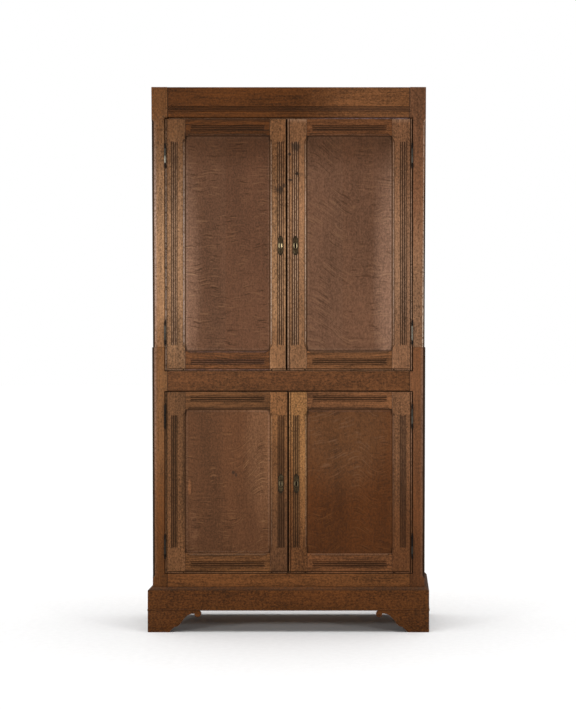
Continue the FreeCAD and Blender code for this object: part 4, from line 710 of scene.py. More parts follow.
def front_rail(kind, heights, seat, over_doors, bolt, ends=0.0, reed_middle=None):
    """A front rail from its lowest to its highest place. Its face board carries the reeds and,
    over doors, a small lower chamfer; behind it, up to the seat, runs the thinner strip that stops
    the doors, with the hole for their slide bolt in its underside. ends is the dirt at both
    ends."""
    height, length = heights[1] - heights[0], 2 * POST_INNER
    strip_foot = heights[0] - (10.0 if over_doors else 0.0)
    strip_wide, bolt_half, hole = 15.0, (5.6, 3.2), 14.5
    bolt_at = sum(corner[0] for corner in span(bolt)) / 2 + POST_INNER

    def reed_map(a, b):
        return reeds(a, b, reed_middle, -20.0, length + 20.0, TOP_PITCH) if reed_middle else 0 * a

    def depth(a, b):
        return np.maximum(reed_map(a, b), over_doors * np.clip(2.5 - a, 0, None) * 2)

    def hollow(a, b):
        joint = ends * np.clip((4.2 - np.minimum(b, length - b)) / 1.6, 0, 1)
        return np.maximum(reed_dirt_and_shade(reed_map(a, b), 0.25), joint)

    def pit(a, b):
        inside = (np.abs(b - bolt_at) < bolt_half[0]) & (np.abs(a - 4.0) < bolt_half[1])
        return np.where(inside & over_doors, hole, 0.0)

    edge = 0.8
    columns = mirrored(eased(edge), height) + [[2.5, 2.55]]
    if reed_middle:
        columns += reed_marks(reed_middle, TOP_PITCH)
    # The darkening along the rail's lower edge is painted shade, and at its ends the joints.
    face = board_skin((height, length, STOP), (columns, mirrored([2.5, 4.3], length)), (12, 24),
                      edge, lambda a, b, c: (b - POST_INNER, FRONT + c, heights[0] + a), depth,
                      hollow, wear=0.25, grime=(0.3, 0.0, 0.9))
    walls = [np.array([-5.65, -5.55, 5.55, 5.65]) + bolt_at]
    columns = mirrored(eased(0.5), strip_wide) + [[0.78, 0.82, 7.18, 7.22]]
    strip = board_skin((strip_wide, length, seat - strip_foot), (columns, walls), (5, 60), 0.5,
                       lambda a, b, c: (b - POST_INNER, FRONT + STOP + a, strip_foot + c), pit,
                       lambda a, b: (pit(a, b) > 0) * 1.0)
    make_piece("rail_" + kind, [face, strip], "carcase", "rail_oak", RAIL[kind], kind + "_rail")


# ---- plinth ----
PLINTH_OUT = 16.5                       # how far the plinth and the feet stand out


def rounded(points, radius=1.3, steps=4):
    """A closed outline with its corners rounded: each corner becomes a curve from one radius
    before it to one radius after it, weighted between the corner and its two neighbours."""
    points = np.array(points, float)

    def towards(shift):
        away = np.roll(points, shift, axis=0) - points
        length = np.linalg.norm(away, axis=1, keepdims=True)
        return (points + away / length * np.minimum(radius, length * 0.45))[:, None]

    t = np.linspace(0, 1, steps)[None, :, None]
    curve = (1 - t) ** 2 * towards(1) + 2 * t * (1 - t) * points[:, None] + t ** 2 * towards(-1)
    return curve.reshape(-1, 2)


PROFILES = {
    "plinth": rounded([(0, POST_FOOT), (PLINTH_OUT, POST_FOOT), (PLINTH_OUT, 153), (13.0, 156.5),
                       (10.5, 159), (4.5, 165), (0, 165)]),
    "bead": np.array([(-37, FOOT_TOP)]
                     + [(16.0 + 2.5 * math.sin(t), 81.5 - 2.5 * math.cos(t))
                        for t in np.linspace(0.0, math.pi, 11)] + [(-37, POST_FOOT)]),
}


def plinth_strip(profile, side):
    """A moulded strip of the plinth: the profile of (outward, height) pairs is carried along one
    side, or along the front where side is 0. At a mitre each point ends as far out as it stands
    out from the carcase."""
    outward, height = profile.T
    share = np.linspace(0, 1, 25)[:, None]
    reach, near = CARCASE_HALF + outward, FRONT - outward
    x, y = side * reach, near + (REAR - near) * share
    if not side:
        x, y = -reach + 2 * reach * share, near
    # Painted shade under the round of the bead, and a darker band along the bevel and the corner under
    # it.
    slope = np.interp(height, [79, 80.2, 81.5, 152, 153, 156.5, 159, 165],
                      [0.7, 0.6, 0.0, 0.0, 0.6, 0.65, 0.3, 0.4])
    return {"points": np.stack(np.broadcast_arrays(x, y, height), axis=-1), "hollow": slope}


def plinth():
    """The plinth boards and the bead under them, each as a front strip and two side strips."""
    for name, node in (("plinth", "plinth_boards"), ("bead", "plinth_bead")):
        for place, sides, grain in (("front", (0,), "x"), ("sides", (-1, 1), "y")):
            strips = [plinth_strip(PROFILES[name], side) for side in sides]
            make_piece(name + "_" + place, strips, "carcase", "plinth_oak", PLINTH[grain], node)


# ---- bracket feet ----
BRACKET = 20.0                          # thickness of the sawn boards
SOLE, REAR_SOLE = 79.0, 70.0
FOOT_HALF = CARCASE_HALF + PLINTH_OUT


def smooth_run(points, count):
    """Evenly spaced points on a smooth curve through the given ones: on each stretch, a cubic
    whose slope at a given point is half the step between its neighbours."""
    points = np.array(points, float)
    padded = np.concatenate([[2 * points[0] - points[1]], points, [2 * points[-1] - points[-2]]])
    t = np.linspace(0, len(points) - 1, count)
    index = np.minimum(t.astype(int), len(points) - 2)
    u = (t - index)[:, None]
    p0, p1, p2, p3 = (padded[index + shift] for shift in range(4))
    return 0.5 * (2 * p1 + (p2 - p0) * u + (2 * p0 - 5 * p1 + 4 * p2 - p3) * u ** 2
                  + (3 * p1 - p0 - 3 * p2 + p3) * u ** 3)


def bracket_outline(sole):
    """Outline of a bracket foot as (reach, height): the sole, a slope, a small step, a swell that
    turns into a long hollow, and a round knob that hangs from the plinth. With another sole the
    swell moves, and only its end beside the knob stays."""
    shift = sole - SOLE
    start = [(0, 79), (0, 60), (0, 40), (0, 20), (0, 0), (sole / 2, 0), (sole, 0),
             (sole + 10, 10.8)]
    swell = smooth_run([(97.5, 19.5), (103, 20.2), (111, 23.5), (119, 31), (126.5, 41.5),
                        (135, 52.0), (145, 61.0), (157, 66.8), (171.2, 68.5)], 34)
    swell[:, 0] += np.where(swell[:, 0] > 160, 0, shift)
    swell = swell[np.argsort(swell[:, 0], kind="stable")]
    angle = np.linspace(math.radians(172), math.radians(450), 26)
    knob = np.stack([183 + 12 * np.cos(angle),
                     np.minimum(67 + 12 * np.sin(angle), FOOT_TOP)], axis=1)
    return np.concatenate([start, swell[:-1], knob])


def bracket_skin(outline, to_world, mitred=True):
    """A sawn board: its outline carried through its thickness, drawn in by a small round at both
    faces. The mitred end moves in as far as the board is deep."""
    ahead = np.roll(outline, -1, axis=0) - np.roll(outline, 1, axis=0)
    normal = np.stack([-ahead[:, 1], ahead[:, 0]], axis=1)
    normal /= np.maximum(np.linalg.norm(normal, axis=1, keepdims=True), 1e-9)
    if np.sum((outline.mean(axis=0) - outline) * normal) < 0:
        normal = -normal
    edge = 0.9
    deep = np.concatenate([eased(edge), np.linspace(edge, BRACKET - edge, 6)[1:-1],
                           BRACKET - eased(edge)[::-1]])[:, None]
    inset = round_over(np.minimum(deep, BRACKET - deep), edge)
    rings = outline[None] + normal[None] * inset[..., None]
    reach = np.maximum(rings[..., 0], deep) if mitred else rings[..., 0]
    place = to_world(reach, np.clip(rings[..., 1], 0, FOOT_TOP), deep + 0 * reach)
    return {"points": np.stack(place, axis=-1)}


def feet():
    """The two front feet with their returns and blocks, and the rear feet."""
    face = FRONT - PLINTH_OUT
    rear = []
    for label, side in SIDES.items():
        def block(y_pair):
            x_pair = sorted(side * (FOOT_HALF - away) for away in (20, 62))
            return plain_board(x_pair, y_pair, (0, FOOT_TOP), "z")

        outline = bracket_outline(SOLE)
        front = bracket_skin(outline, lambda r, h, c: (side * (FOOT_HALF - r), face + c, h))
        turned = bracket_skin(outline, lambda r, h, c: (side * (FOOT_HALF - c), face + r, h))
        for name, skins, grain in (("front", [front], "x"),
                                   ("return", [turned, block((face + 20, face + 62))], "y")):
            make_piece("foot_" + name + "_" + label, skins, "carcase", "plinth_oak",
                       PLINTH[grain], "front_foot_" + label)
        rear += [bracket_skin(bracket_outline(REAR_SOLE),
                              lambda r, h, c: (side * (FOOT_HALF - c), REAR - r, h), False),
                 block((REAR - 42, REAR))]
    make_piece("feet_rear", rear, "carcase", "plinth_oak", PLINTH["y"], "rear_feet")


# ---- doors ----
HINGE_REED = 32.9                       # door edge to the middle of a hinge stile's reeds
MEETING_REED = {"upper_left": 20.0, "upper_right": 30.3, "lower_left": 24.4, "lower_right": 28.1}
TOP_REED = {"upper": 28.5, "lower": 40.5}
BOTTOM_REED = 40.2
REED_END = 20.5                         # panel opening's end to the end of a stile's reeds
RAIL_REED_END = 20.0
MEETING_BEAD = (7.0, 1.8)
KEY_HEIGHT = {"upper": 1417.0, "lower": 543.0}
TONGUE = 6.0                            # how far a panel stands in the frame's groove


def stile(door, label, meeting):
    """A door stile. Across it run the edge bead, the reeds and the stopped chamfer; at its foot
    the lip bead, broken by a small notch beside the joint."""
    side, tier = SIDES[label], door.split("_")[0]
    kind = "meeting" if meeting else "hinge"
    upper, pierced = tier == "upper", meeting and side > 0
    # the upper right meeting stile gets stronger painted highlights on its reed crowns and no band
    # darkening
    bright_reeds = door == "upper_right" and meeting
    node = door + "_" + kind + "_stile"
    low, high = span(node)
    width, length = high[0] - low[0], high[2] - low[2]
    foot, head = (span(door + rail)[corner][2] - low[2]
                  for rail, corner in (("_bottom_rail", 1), ("_top_rail", 0)))
    cut = Chamfer(foot + 11.0, head - 11.0)
    outward = -side if meeting else side
    outer_x = high[0] if outward > 0 else low[0]
    reed_at = MEETING_REED[door] if meeting else HINGE_REED - (door == "upper_right")
    key_at = KEY_HEIGHT[tier] - low[2]
    edge_bead, beaded = MEETING_BEAD if meeting else LIP, pierced or not meeting
    lip_from = 0.0 if meeting else sum(LIP)
    # polish and arris_shine set the strength of the painted highlights along the chamfer, and polish
    # also those on the beads and reed crowns and the dark line beside the chamfer; all are stronger on
    # the upper doors.
    polish = 1.0 if upper else 0.35
    reed_band_darkening = 0.0 if bright_reeds else 0.15 if upper else 0.5
    if door == "lower_right" and not meeting:
        reed_band_darkening = 0.38
    inner_darkening_width = 3.2 if pierced else 2.2 if upper else 1.5
    arris_shine = 1.7 if meeting else 1.2 if upper else 0.4

    def reed_map(a, b):
        return reeds(a, b, reed_at, foot + REED_END, head - REED_END)

    def quirks(a, b):
        edge_cut = bead(a, *edge_bead) * beaded
        lip_cut = np.where(a > lip_from, bead(b, *LIP), 0.0)
        notch = (a > width - 9.5) & (a < width - 3.0) & (b < sum(LIP) - 0.02)
        return np.maximum(np.maximum(edge_cut, lip_cut), LIP_DEPTH * notch)

    def key(a, b):
        return (np.abs(a - reed_at) < 2.9) & (np.abs(b - key_at) < 8.6) & pierced

    def depth(a, b):
        shape = np.maximum(np.maximum(reed_map(a, b), quirks(a, b)), cut.depth(width - a, b))
        return np.where(key(a, b), 18.0, shape)

    # Painted shade: the black inside the keyhole, and the hooks where the dark line beside the chamfer
    # widens at its run-outs; that line itself is dirt, and the quirks of the reeds and lip hold dirt
    # and painted shade.
    def hollow(a, b):
        reach, ends = cut.reach(b), cut.ends(b, 0.5)
        deep = reed_dirt_and_shade(reed_map(a, b), reed_band_darkening)
        beside = np.abs(np.abs(a - reed_at) - 1.5 * REED_PITCH)
        within = (b > foot + REED_END) & (b < head - REED_END)
        arris = (0.97 * np.maximum(polish, ends) * (reach > 0.2)
                 * bell(width - a - reach - 0.9 - 0.5 * ends, 1.2 + 1.9 * ends))
        inner = 0.9 * np.clip(inner_darkening_width - (width - a), 0, 1) * (b > foot) * (b < head)
        lip = np.clip((quirks(a, b) - 1.2) / 2.4, 0, 1)
        for more in (0.85 * np.clip(1.9 - beside, 0, 1) * within, arris, inner,
                     0.12 * (width - a < reach) * (not upper), lip, key(a, b)):
            deep = np.maximum(deep, more)
        return deep

    # Painted highlights: the bright line along the chamfer, the crowns of the beads and reeds, and the
    # lit top end of the upper right door's stiles.
    def rub_and_sheen(a, b):
        reach, shine = cut.reach(b), reed_crown_highlight(reed_map(a, b))
        along = bell(width - a - reach * 0.72, 1.5) * (reach > 0.3) * polish
        worn = along * (1 - cut.ends(b, 1.0)) * arris_shine
        for more in (bell(a - edge_bead[0] / 2, 1.3) * 0.7 * polish * beaded,
                     bell(b - LIP[0] / 2, 1.3) * 0.3, shine * (1.3 if bright_reeds else 0.4) * polish,
                     0.8 * bell(length - b - 1.0, 1.5) * (door == "upper_right")):
            worn = np.maximum(worn, more)
        return worn

    edge = 0.9
    columns = (reed_marks(reed_at) + mirrored(eased(edge), width)
               + [width - np.linspace(0, 8.8, 12), width - np.array([9.53, 9.5, 3.0, 2.97]),
                  reed_at + np.array([-2.93, -2.87, 2.87, 2.93])])
    columns += bead_marks(*edge_bead) if beaded else []
    plunge = np.linspace(-2, 6, 9)
    rows = bead_marks(*LIP) + cut.rows() + [
        foot + REED_END + plunge, head - REED_END - plunge,
        key_at + np.array([-8.65, -8.55, 8.55, 8.65])]
    # Along the meeting and hinge edges the darkening is painted shade of the gaps beside the door; at
    # the ends it is the joints.
    skin = board_skin((width, length, DOOR_DEEP), (columns, rows), (7, 16), edge,
                      lambda a, b, c: (outer_x - outward * a, FRONT + c, low[2] + b), depth,
                      hollow, rub_and_sheen, wear=0.2, grime=(0.95 if meeting else 0.6, 0.0, 0.3))
    make_piece("stile_" + door + "_" + kind, [skin], door + "_door", "stile_oak",
               STILE[door + "_" + kind], node)


def door_rail(door, label, top):
    """A door rail between the stiles: reeds, the stopped chamfer towards the panel, and under the
    bottom rail the lip bead. a is counted from the panel outwards."""
    tier, place = door.split("_")[0], "_top" if top else "_bottom"
    low, high = span(door + place + "_rail")
    stiles = ["_hinge_stile", "_meeting_stile"][::-SIDES[label]]
    x0, x1 = span(door + stiles[0])[1][0], span(door + stiles[1])[0][0]
    width, length = high[2] - low[2], x1 - x0
    cut = Chamfer(9.0, length - 9.0)
    reed_at = TOP_REED[tier] if top else BOTTOM_REED
    chamfer_darkening = 0.55 if (tier == "lower") == top else 0.25
    foot = 0.9 if top or tier == "upper" else 0.25
    reed_band_darkening = 0.12 if top and door == "lower_left" else 0.3

    def reed_map(a, b):
        return reeds(a, b, reed_at, RAIL_REED_END, length - RAIL_REED_END)

    def lip(a, b):
        return 0 * a if top else bead(width - a, *LIP)

    def depth(a, b):
        return np.maximum(np.maximum(reed_map(a, b), lip(a, b)), cut.depth(a, b))

    # The dark line beside the chamfer widens into hooks at its run-outs, which are painted shade; the
    # reeds' quirks hold dirt and painted shade.
    def hollow(a, b):
        reach, ends = cut.reach(b), cut.ends(b, 1.0) * (1.0 if top else 0.5)
        arris = ((0.7 + 0.27 * ends) * (reach > 0.2)
                 * bell(a - reach - 0.9 - 0.5 * ends, 1.1 + 1.9 * ends))
        deep = reed_dirt_and_shade(reed_map(a, b), reed_band_darkening)
        for more in (arris, chamfer_darkening * (a < reach), foot * np.clip(2.2 - a, 0, 1),
                     0.6 * np.clip((a - width + 6.5) / 2.5, 0, 1) * (top and door == "upper_left"),
                     np.clip((lip(a, b) - 1.2) / 2.4, 0, 1)):
            deep = np.maximum(deep, more)
        return deep

    # Painted highlights along the chamfer and on the crowns of the reeds and the lip bead.
    def rub_and_sheen(a, b):
        reach = cut.reach(b)
        along = np.maximum(0.3 * bell(a - reach * 0.72, 1.3) * (reach > 0.3),
                           0.15 * reed_crown_highlight(reed_map(a, b)))
        return np.maximum(along, bell(width - a - LIP[0] / 2, 1.3) * 0.3 * (not top))

    def to_world(a, b, c):
        return x0 + b, FRONT + c, low[2] + a if top else high[2] - a

    edge = 0.35
    columns = reed_marks(reed_at) + mirrored(eased(edge), width) + [np.linspace(0, 8.8, 12)]
    columns += [] if top else [width - marks for marks in bead_marks(*LIP)]
    rows = cut.rows() + mirrored(RAIL_REED_END + np.linspace(-2, 6, 9), length)
    skin = board_skin((width, length, DOOR_DEEP), (columns, rows), (7, 16), edge, to_world, depth,
                      hollow, rub_and_sheen, wear=0.2, grime=(0.0, 0.0, 0.9))
    make_piece("rail_" + door + place, [skin], door + "_door", "rail_oak", DOOR_RAIL[door],
               door + place + "_rail")


def panel(door):
    """The door panel: nearly flat, with a slow warp of a few tenths of a millimetre and a worn
    border where polish has been rubbed up to the frame."""
    low, high = span(door + "_panel")
    width, length = (high - low)[[0, 2]]
    foot, line = (0.75, 2.2) if door.startswith("upper") else (0.25, 1.5)
    border_rub = 0.05 if door == "lower_right" else 0.2

    def depth(a, b):
        u, v = a / width * 2 - 1, b / length * 2 - 1
        return 0.3 + (0.35 * (1 - np.cos(u * 1.4)) + 0.2 * np.sin(v * 2.4 + 0.6))

    def from_frame(a, b):
        return np.minimum(a, width - a) - TONGUE, np.minimum(b, length - b) - TONGUE

    # The dark line along the frame, darkest in the corners, is painted shade of the frame with some
    # settled dirt, and it is painted less dark along the foot.
    def hollow(a, b):
        beside, below = from_frame(a, b)
        corner = np.exp(-(np.maximum(beside, below) / 21.0) ** 4)
        near = np.minimum(beside, below)
        dirt = np.maximum(0.8 * bell(near, line), 0.97 * corner * bell(near, 4.2))
        return dirt * np.where((b < length / 2) & (below < beside), foot, 1.0)

    def rub_and_sheen(a, b):
        return border_rub * bell(np.minimum(*from_frame(a, b)) - 6.0, 2.0)

    border = [5.9, 7, 8, 9, 10, 11.5, 13, 15, 17, 20, 24, 28, 33]
    skin = board_skin((width, length, 9.0), (mirrored(border, width), mirrored(border, length)),
                      (16, 24), 0.5, lambda a, b, c: (low[0] + a, low[1] + c, low[2] + b),
                      depth, hollow, rub_and_sheen)
    make_piece("panel_" + door, [skin], door + "_door", "panel_oak", PANEL[door], door + "_panel")


# ---- hinges ----
BARREL = 26.5                           # height of half a barrel, and half the leaf's height
LEAF = (20.0, 2 * BARREL, 1.2)
SCREWS = ((13.0, 8.0, 0.5), (10.5, 26.5, 1.9), (13.0, 45.0, 2.7))     # across, along, turn
FINIAL = [*smooth_run([(3.72, 0.2), (3.1, 1.5), (3.55, 4.6), (3.72, 8.0), (3.6, 12.0), (3.0, 16.0),
                       (1.9, 19.5), (0.5, 22.3)], 26), (0.05, 22.9)]  # neck, olive and tip
# how much the barrels of the upper and the lower hinge are painted lighter, a painted highlight:
# the upper half of each, the lower half
BARREL_HIGHLIGHT = {"upper_left": ((0.13, 0.72), (0.16, 0.1)),
              "upper_right": ((0.1, 0.2), (0.37, 0.38)),
              "lower_left": ((0, 0), (0.05, 0.06)), "lower_right": ((0.09, 0.17), (0, 0.1))}


def leaf_skin(middle, x_face, outward):
    """A hinge leaf with three countersunk slotted screws, as a depth map of the leaf's face."""
    def depth(a, b):
        shape = 0 * a
        for at_a, at_b, turn in SCREWS:
            u, v = a - at_a, b - at_b
            ring = np.hypot(u, v)
            slot = (np.abs(u * math.cos(turn) + v * math.sin(turn)) < 0.45) & (ring < 2.7)
            shape = np.maximum(shape, np.where(slot, 0.6, bell(ring - 3.0, 0.22) * 0.35))
        return shape

    rows = [at_b + np.linspace(-3.5, 3.5, 23) for _, at_b, _ in SCREWS]
    return board_skin(LEAF, ([np.linspace(7, 17, 31)], rows), (4, 6), 0.2,
                      lambda a, b, c: (x_face - outward * c, FRONT + a, middle - BARREL + b),
                      depth, lambda a, b: np.clip(depth(a, b) / 0.5, 0, 1))


def hinge(label, middle, on_door, worn):
    """Half a lift-off hinge: its barrel and finial, a profile of (radius, height) carried round
    the axis, the neck plate and the leaf. The door has the upper half."""
    side, sign = SIDES[label], 1 if on_door else -1
    barrel = [(0.05, 0.15), (3.2, 0.15), (3.55, 0.4), (3.7, 0.9), (3.7, 9.0), (3.72, 18.0),
              (3.7, 23.4), (3.3, 23.8), (3.3, 24.3), (3.75, 24.8), (3.75, 26.2)]
    radius, height = np.concatenate([barrel, np.array(FINIAL) + (0, BARREL)]).T[..., None]
    on_finial = np.arange(len(radius))[:, None] >= len(barrel)
    angle = np.linspace(0, 2 * math.pi, 28, endpoint=False)
    turned = np.broadcast_arrays(side * HINGE_X + radius * np.cos(angle),
                                 HINGE_Y + radius * np.sin(angle), middle + sign * height)
    face, outward = (side * 453.0, side) if on_door else (side * 456.0, -side)
    heights = sorted((middle + sign * 0.3, middle + sign * 26.4))
    neck = sorted((face, face - outward * LEAF[2]))
    # worn paints the barrel lighter, a painted highlight
    return [{"points": np.stack(turned, axis=-1), "hollow": 1.0 * on_finial,
             "rub_and_sheen": np.where(on_finial, 0.0, worn)},
            leaf_skin(middle, face, outward),
            plain_board(neck, (HINGE_Y, FRONT + 0.5), heights, "z", 0.2)]


def hinges():
    """All the hinge halves: one piece on each door and one piece on the posts."""
    on_posts = []
    # rubbed holds the painted highlight of each barrel
    for door, rubbed in BARREL_HIGHLIGHT.items():
        label = door.split("_")[1]
        low, high = span(door + "_hinge_halves")
        on_door = []
        for middle, worn in zip((high[2] - 49.5, low[2] + BARREL), rubbed):
            on_door += hinge(label, middle, True, worn[0])
            on_posts += hinge(label, middle, False, worn[1])
        make_piece("hinges_" + door, on_door, door + "_door", "hinge_iron", HINGE_IRON,
                   door + "_hinge_halves")
    make_piece("hinges_on_posts", on_posts, "carcase", "hinge_iron", HINGE_IRON,
               "post_hinge_halves")


# ---- keyhole plates ----
PLATE_POINTS = 120
STUDS = ((-22.5, 1.5, 0.9), (22.5, 1.5, 0.9), (-15.2, 1.3, -0.1), (15.2, 1.3, -0.1))


def plate_edge():
    """Outline of a keyhole plate: a smooth closed curve through the waist, the two lobes and the
    rounded crown of a quarter, mirrored to the other three."""
    quarter = [(11.0, 0.0), (10.6, 7.0), (9.2, 13.0), (9.0, 17.0), (9.9, 20.5), (9.8, 24.5),
               (7.6, 28.0), (6.6, 30.4), (5.2, 33.4), (2.4, 35.2), (0.0, 35.5)]
    half = quarter + [(-x, z) for x, z in quarter[-2::-1]]
    ring = half + [(-x, -z) for x, z in half[1:-1]]
    return smooth_run(ring + ring[:1], PLATE_POINTS + 1)[:-1]


EDGE = plate_edge()
FACING = np.arctan2(EDGE[:, 1] * 0.62, EDGE[:, 0])      # angles that face the edge's points


def oval_ring(half_width, half_height):
    """An upright oval with straight sides."""
    x, z = half_width * np.cos(FACING), half_width * np.sin(FACING)
    straight = (half_height - half_width) * np.clip(z / half_width * 1.6, -1, 1)
    return np.stack([x, z + straight], axis=1)


def key_ring():
    """Outline of a keyhole: a round eye over a straight slot."""
    rise = np.sin(FACING)
    eye = np.stack([2.4 * np.cos(FACING), 3.2 + 2.4 * rise], axis=1)
    slot_z = np.where(rise < -0.95, -6.6, -6.6 + (rise + 0.95) * 6.5)
    slot = np.stack([np.clip(eye[:, 0] * 1.1, -1.45, 1.45), np.minimum(slot_z, 1.5)], axis=1)
    return np.where((rise < -0.35)[:, None], slot, eye)


def keyhole_plate(door, label):
    """A cast keyhole plate as rings laid from the middle outwards: the keyhole or blind slit, the
    dished middle, the raised oval ring, the field, the rolled rim and the edge."""
    middle_x, _, middle_z = sum(span(door + "_keyhole_plate")) / 2
    pierced = SIDES[label] > 0
    # shine sets the strength of the painted highlights on the flanks of the raised ring
    shine = (1.1 if pierced else 1.5) if door.startswith("upper") else 0.35
    oval = {size: oval_ring(size, size + 4.4) for size in (5.0, 5.6, 6.3, 7.0, 7.5)}
    flank_highlight = shine * np.clip(np.abs(oval[6.3][:, 0]) / 6.3, 0, 1) ** 3
    # each ring with its height, its darkening and its rub: the black of the keyhole and of the blind
    # slit is painted shade, the bright flanks of the raised ring are painted highlights, and the other
    # darkening is patina
    middle = ([(key_ring(), -3.0, 1.0, 0), (key_ring(), 0.9, 1.0, 0), (key_ring() * 1.12, 1.3, 1.0, 0),
               (oval_ring(3.5, 8.8), 1.4, 1.0, 0)] if pierced else
              [(oval_ring(0.05, 6.5) * (0.5, 1), 0.9, 0.9, 0), (oval_ring(0.9, 7.0), 1.1, 1.0, 0),
               (oval_ring(1.5, 7.4), 1.5, 0.9, 0)])
    raised = [(oval_ring(4.5, 9.0), 1.5, 0.1, 0.7 * flank_highlight), (oval[5.0], 1.6, 0.1, 0.6 * flank_highlight),
              (oval[5.6], 2.6, 0.0, flank_highlight), (oval[6.3], 3.1, 0.0, flank_highlight),
              (oval[7.0], 2.7, 0.4, 0.2 * flank_highlight), (oval[7.5], 1.6, 1.0, 0)]
    field = []
    for share in (0.25, 0.5, 0.75):
        ring = oval[7.5] * (1 - share) + EDGE * 0.84 * share
        lobes = np.abs(ring[:, 1]) > 14
        field.append((ring, 1.5 + 0.35 * math.sin(share * math.pi) + 0.3 * lobes, 0.35, 0))
    rim = [(EDGE * size, height, dirt, 0) for size, height, dirt in (
        (0.84, 1.3, 0.8), (0.9, 1.75, 0.5), (0.955, 1.8, 0.9), (0.992, 1.2, 1.0), (1, 0.6, 0.9),
        (1, -0.2, 1.0))]
    rings, *values = zip(*middle, *raised, *field, *rim)
    height, dirt, rub_and_sheen = (np.array([value + 0 * FACING for value in each]) for each in values)
    x, z = np.moveaxis(np.array(rings), -1, 0)
    place = np.stack([middle_x + x, FRONT - height, middle_z + z], axis=-1)
    skins = [{"points": place, "hollow": dirt, "rub_and_sheen": rub_and_sheen, **({"turn": True} if pierced else {})}]
    angle = np.linspace(0, 2 * math.pi, 16, endpoint=False)
    for z, size, proud in STUDS:
        radius = np.array([1.15, 1.0, 0.75, 0.4, 0.03])[:, None] * size
        lift = 1.75 + proud * np.array([0.0, 0.45, 0.8, 0.97, 1.0])[:, None]
        stud = np.broadcast_arrays(middle_x + radius * np.cos(angle), FRONT - lift,
                                   middle_z + z + radius * np.sin(angle))
        skins.append({"points": np.stack(stud, axis=-1), "turn": False,
                      "hollow": 1.0 if proud < 0 else 0.75})
    make_piece("keyhole_plate_" + door, skins, door + "_door", "plate_bronze", PLATE_BRONZE,
               door + "_keyhole_plate")


# ---- sides, back and inside ----
SIDE_FACE = 496.0                       # outer faces of the side rails
SIDE_RAILS = {"lower": ((POST_FOOT, 220.5), (952.0, SEAM)),
              "upper": ((SEAM, 1136.0), (RAIL_TOP - 92.0, RAIL_TOP))}


def rear_post(tier, side):
    """A rear post, with the rebate for the back boards, which leans as the front post does."""
    base = BASE[tier]
    length = {"lower": SEAM, "upper": RAIL_TOP}[tier] - base

    def to_world(a, b, c):
        outer = np.interp(b + base, *OUTER[tier])
        return side * (outer - a / POST_WIDE * (outer - POST_INNER)), REAR - c, base + b

    columns = mirrored(eased(1.2), POST_WIDE) + [[38.97, 39.0]]
    return board_skin((POST_WIDE, length, POST_DEEP), (columns, ()), (20, 60), 1.2, to_world,
                      lambda a, b: 10.3 * (a > 38.99))


def side_frames():
    """Rear posts, side rails and side panels as eased boards in place of the plain solids."""
    posts, rails, panels = [], [], []
    near, far = FRONT + POST_DEEP, REAR - POST_DEEP
    for side in (-1, 1):
        rail_x = sorted((side * SIDE_FACE, side * (SIDE_FACE - 24.0)))
        panel_x = sorted((side * (SIDE_FACE - 16.5), side * (SIDE_FACE - 7.5)))
        for tier, pairs in SIDE_RAILS.items():
            posts.append(rear_post(tier, side))
            rails += [plain_board(rail_x, (near, far), pair, "y", 0.8) for pair in pairs]
            heights = (pairs[0][1] - TONGUE, pairs[1][0] + TONGUE)
            panels.append(plain_board(panel_x, (near - TONGUE, far + TONGUE), heights, "z", 0.5))
    for name, skins, slot, finish, node in (
            ("posts_rear", posts, "post_oak", "z", "rear_posts"),
            ("rails_side", rails, "post_oak", "y", "side_rails"),
            ("panels_side", panels, "panel_oak", "panel", "side_panels")):
        make_piece(name, skins, "carcase", slot, SIDE[finish], node)


def finish_nodes():
    """Finishes for the construction nodes that stay as they are."""
    plain = {"back_boards": BACK, "shelf_cleats": INSIDE["y"]}
    for node in ("bottom_board", "middle_board", "top_board", "shelves"):
        plain[node] = INSIDE["x"]
    for tier in TIERS:
        for iron in ("right_lock", "right_lock_bolt", "left_ironwork", "left_top_bolt",
                     "left_bottom_bolt"):
            plain[tier + "_" + iron] = LOCK_IRON
    for node, material in plain.items():
        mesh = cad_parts[node].data
        mesh.materials.clear()
        mesh.materials.append(material)


for tier_name in TIERS:
    for side_name in SIDES:
        front_post(tier_name, side_name)
        door_name = tier_name + "_" + side_name
        stile(door_name, side_name, False)
        stile(door_name, side_name, True)
        door_rail(door_name, side_name, True)
        door_rail(door_name, side_name, False)
        panel(door_name)
        keyhole_plate(door_name, side_name)
front_rail("top", (OPENINGS["upper"][1], RAIL_TOP), RAIL_TOP - 20.0, True, "upper_left_top_bolt",
           0.75, 31.4)
front_rail("middle", (OPENINGS["lower"][1], OPENINGS["upper"][0]), 945.0, True,
           "lower_left_top_bolt", 0.35)
front_rail("lower", (98.0, OPENINGS["lower"][0]), 200.5, False, "lower_left_top_bolt")
plinth()
feet()
hinges()
side_frames()
finish_nodes()


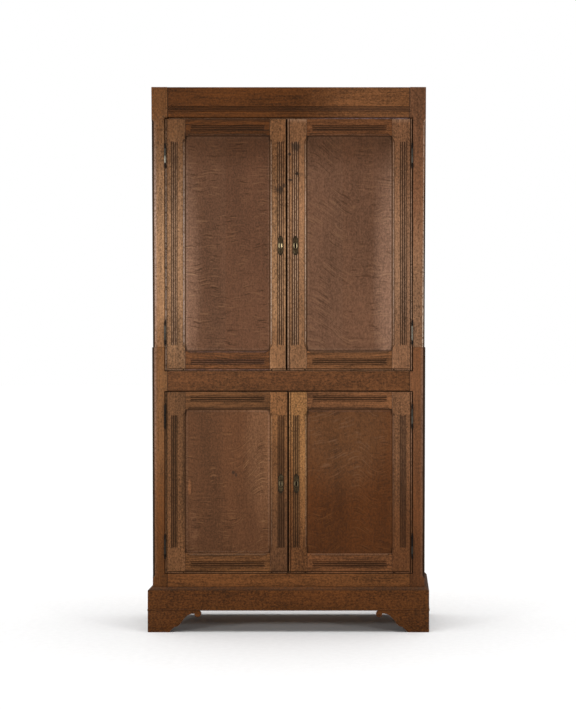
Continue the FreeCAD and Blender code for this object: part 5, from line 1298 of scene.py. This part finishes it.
# ---- floor, light and camera ----
def studio():
    """A pale floor under a wide soft light from above, and two soft spots from the sides."""
    material, tree, shader = new_material("studio_floor")
    place = add(tree, "TexCoord").outputs["Object"]
    grain = noise(tree, place, 40.0, 3.0)
    shade = ramp(tree, grain, 0.3, 0.7, 0.86, 0.89)
    tone = add(tree, "CombineColor", {0: shade, 1: shade, 2: shade}).outputs[0]
    tree.links.new(tone, shader.inputs["Base Color"])
    shader.inputs["Roughness"].default_value = 0.7
    mesh = bpy.data.meshes.new("studio_floor")
    mesh.from_pydata([(-30, -30, 0), (30, -30, 0), (30, 30, 0), (-30, 30, 0)], [], [(0, 1, 2, 3)])
    mesh.materials.append(material)
    floor = bpy.data.objects.new("studio_floor", mesh)
    bpy.context.scene.collection.objects.link(floor)
    world = bpy.data.worlds.new("studio")
    world.use_nodes = True
    tree = world.node_tree
    background = tree.nodes["Background"]
    seen = add(tree, "LightPath").outputs["Is Camera Ray"]
    shade = calc(tree, "MULTIPLY_ADD", seen, 0.85, 0.15)
    tree.links.new(shade, background.inputs["Strength"])
    background.inputs["Color"].default_value = (1, 1, 1, 1)
    bpy.context.scene.world = world
    sun = bpy.data.lights.new("sky", "SUN")
    sun.energy, sun.angle = 3.5, math.radians(60)
    item = bpy.data.objects.new("sky", sun)
    bpy.context.scene.collection.objects.link(item)
    lamps = (("key", (-2.7, -3.6, 1.5), (-0.1, 0, 1.2), 560),
             ("fill", (3.0, -3.6, 1.5), (0.1, 0, 1.15), 430))
    for name, place, aim, power in lamps:
        lamp = bpy.data.lights.new(name, "SPOT")
        lamp.spot_size, lamp.spot_blend = math.radians(38), 1.0
        lamp.shadow_soft_size, lamp.energy = 0.45, power
        item = bpy.data.objects.new(name, lamp)
        item.location = place
        direction = Vector(aim) - Vector(place)
        item.rotation_euler = direction.to_track_quat("-Z", "Y").to_euler()
        bpy.context.scene.collection.objects.link(item)


def camera():
    """A long lens seven metres away, level and square to the front. It stands to the right of the
    middle, and lens shift brings the press back to the middle of the frame."""
    data = bpy.data.cameras.new("camera")
    data.lens, data.sensor_width, data.clip_end = 96.83, 36.0, 100.0
    data.shift_x, data.shift_y = -0.1444, -0.0350
    item = bpy.data.objects.new("camera", data)
    bpy.context.scene.collection.objects.link(item)
    item.location = (0.3735, -7.2186, 1.1085)
    item.rotation_euler = (math.pi / 2, 0, 0)
    bpy.context.scene.camera = item


studio()
camera()
bpy.context.scene.view_settings.view_transform = "Standard"
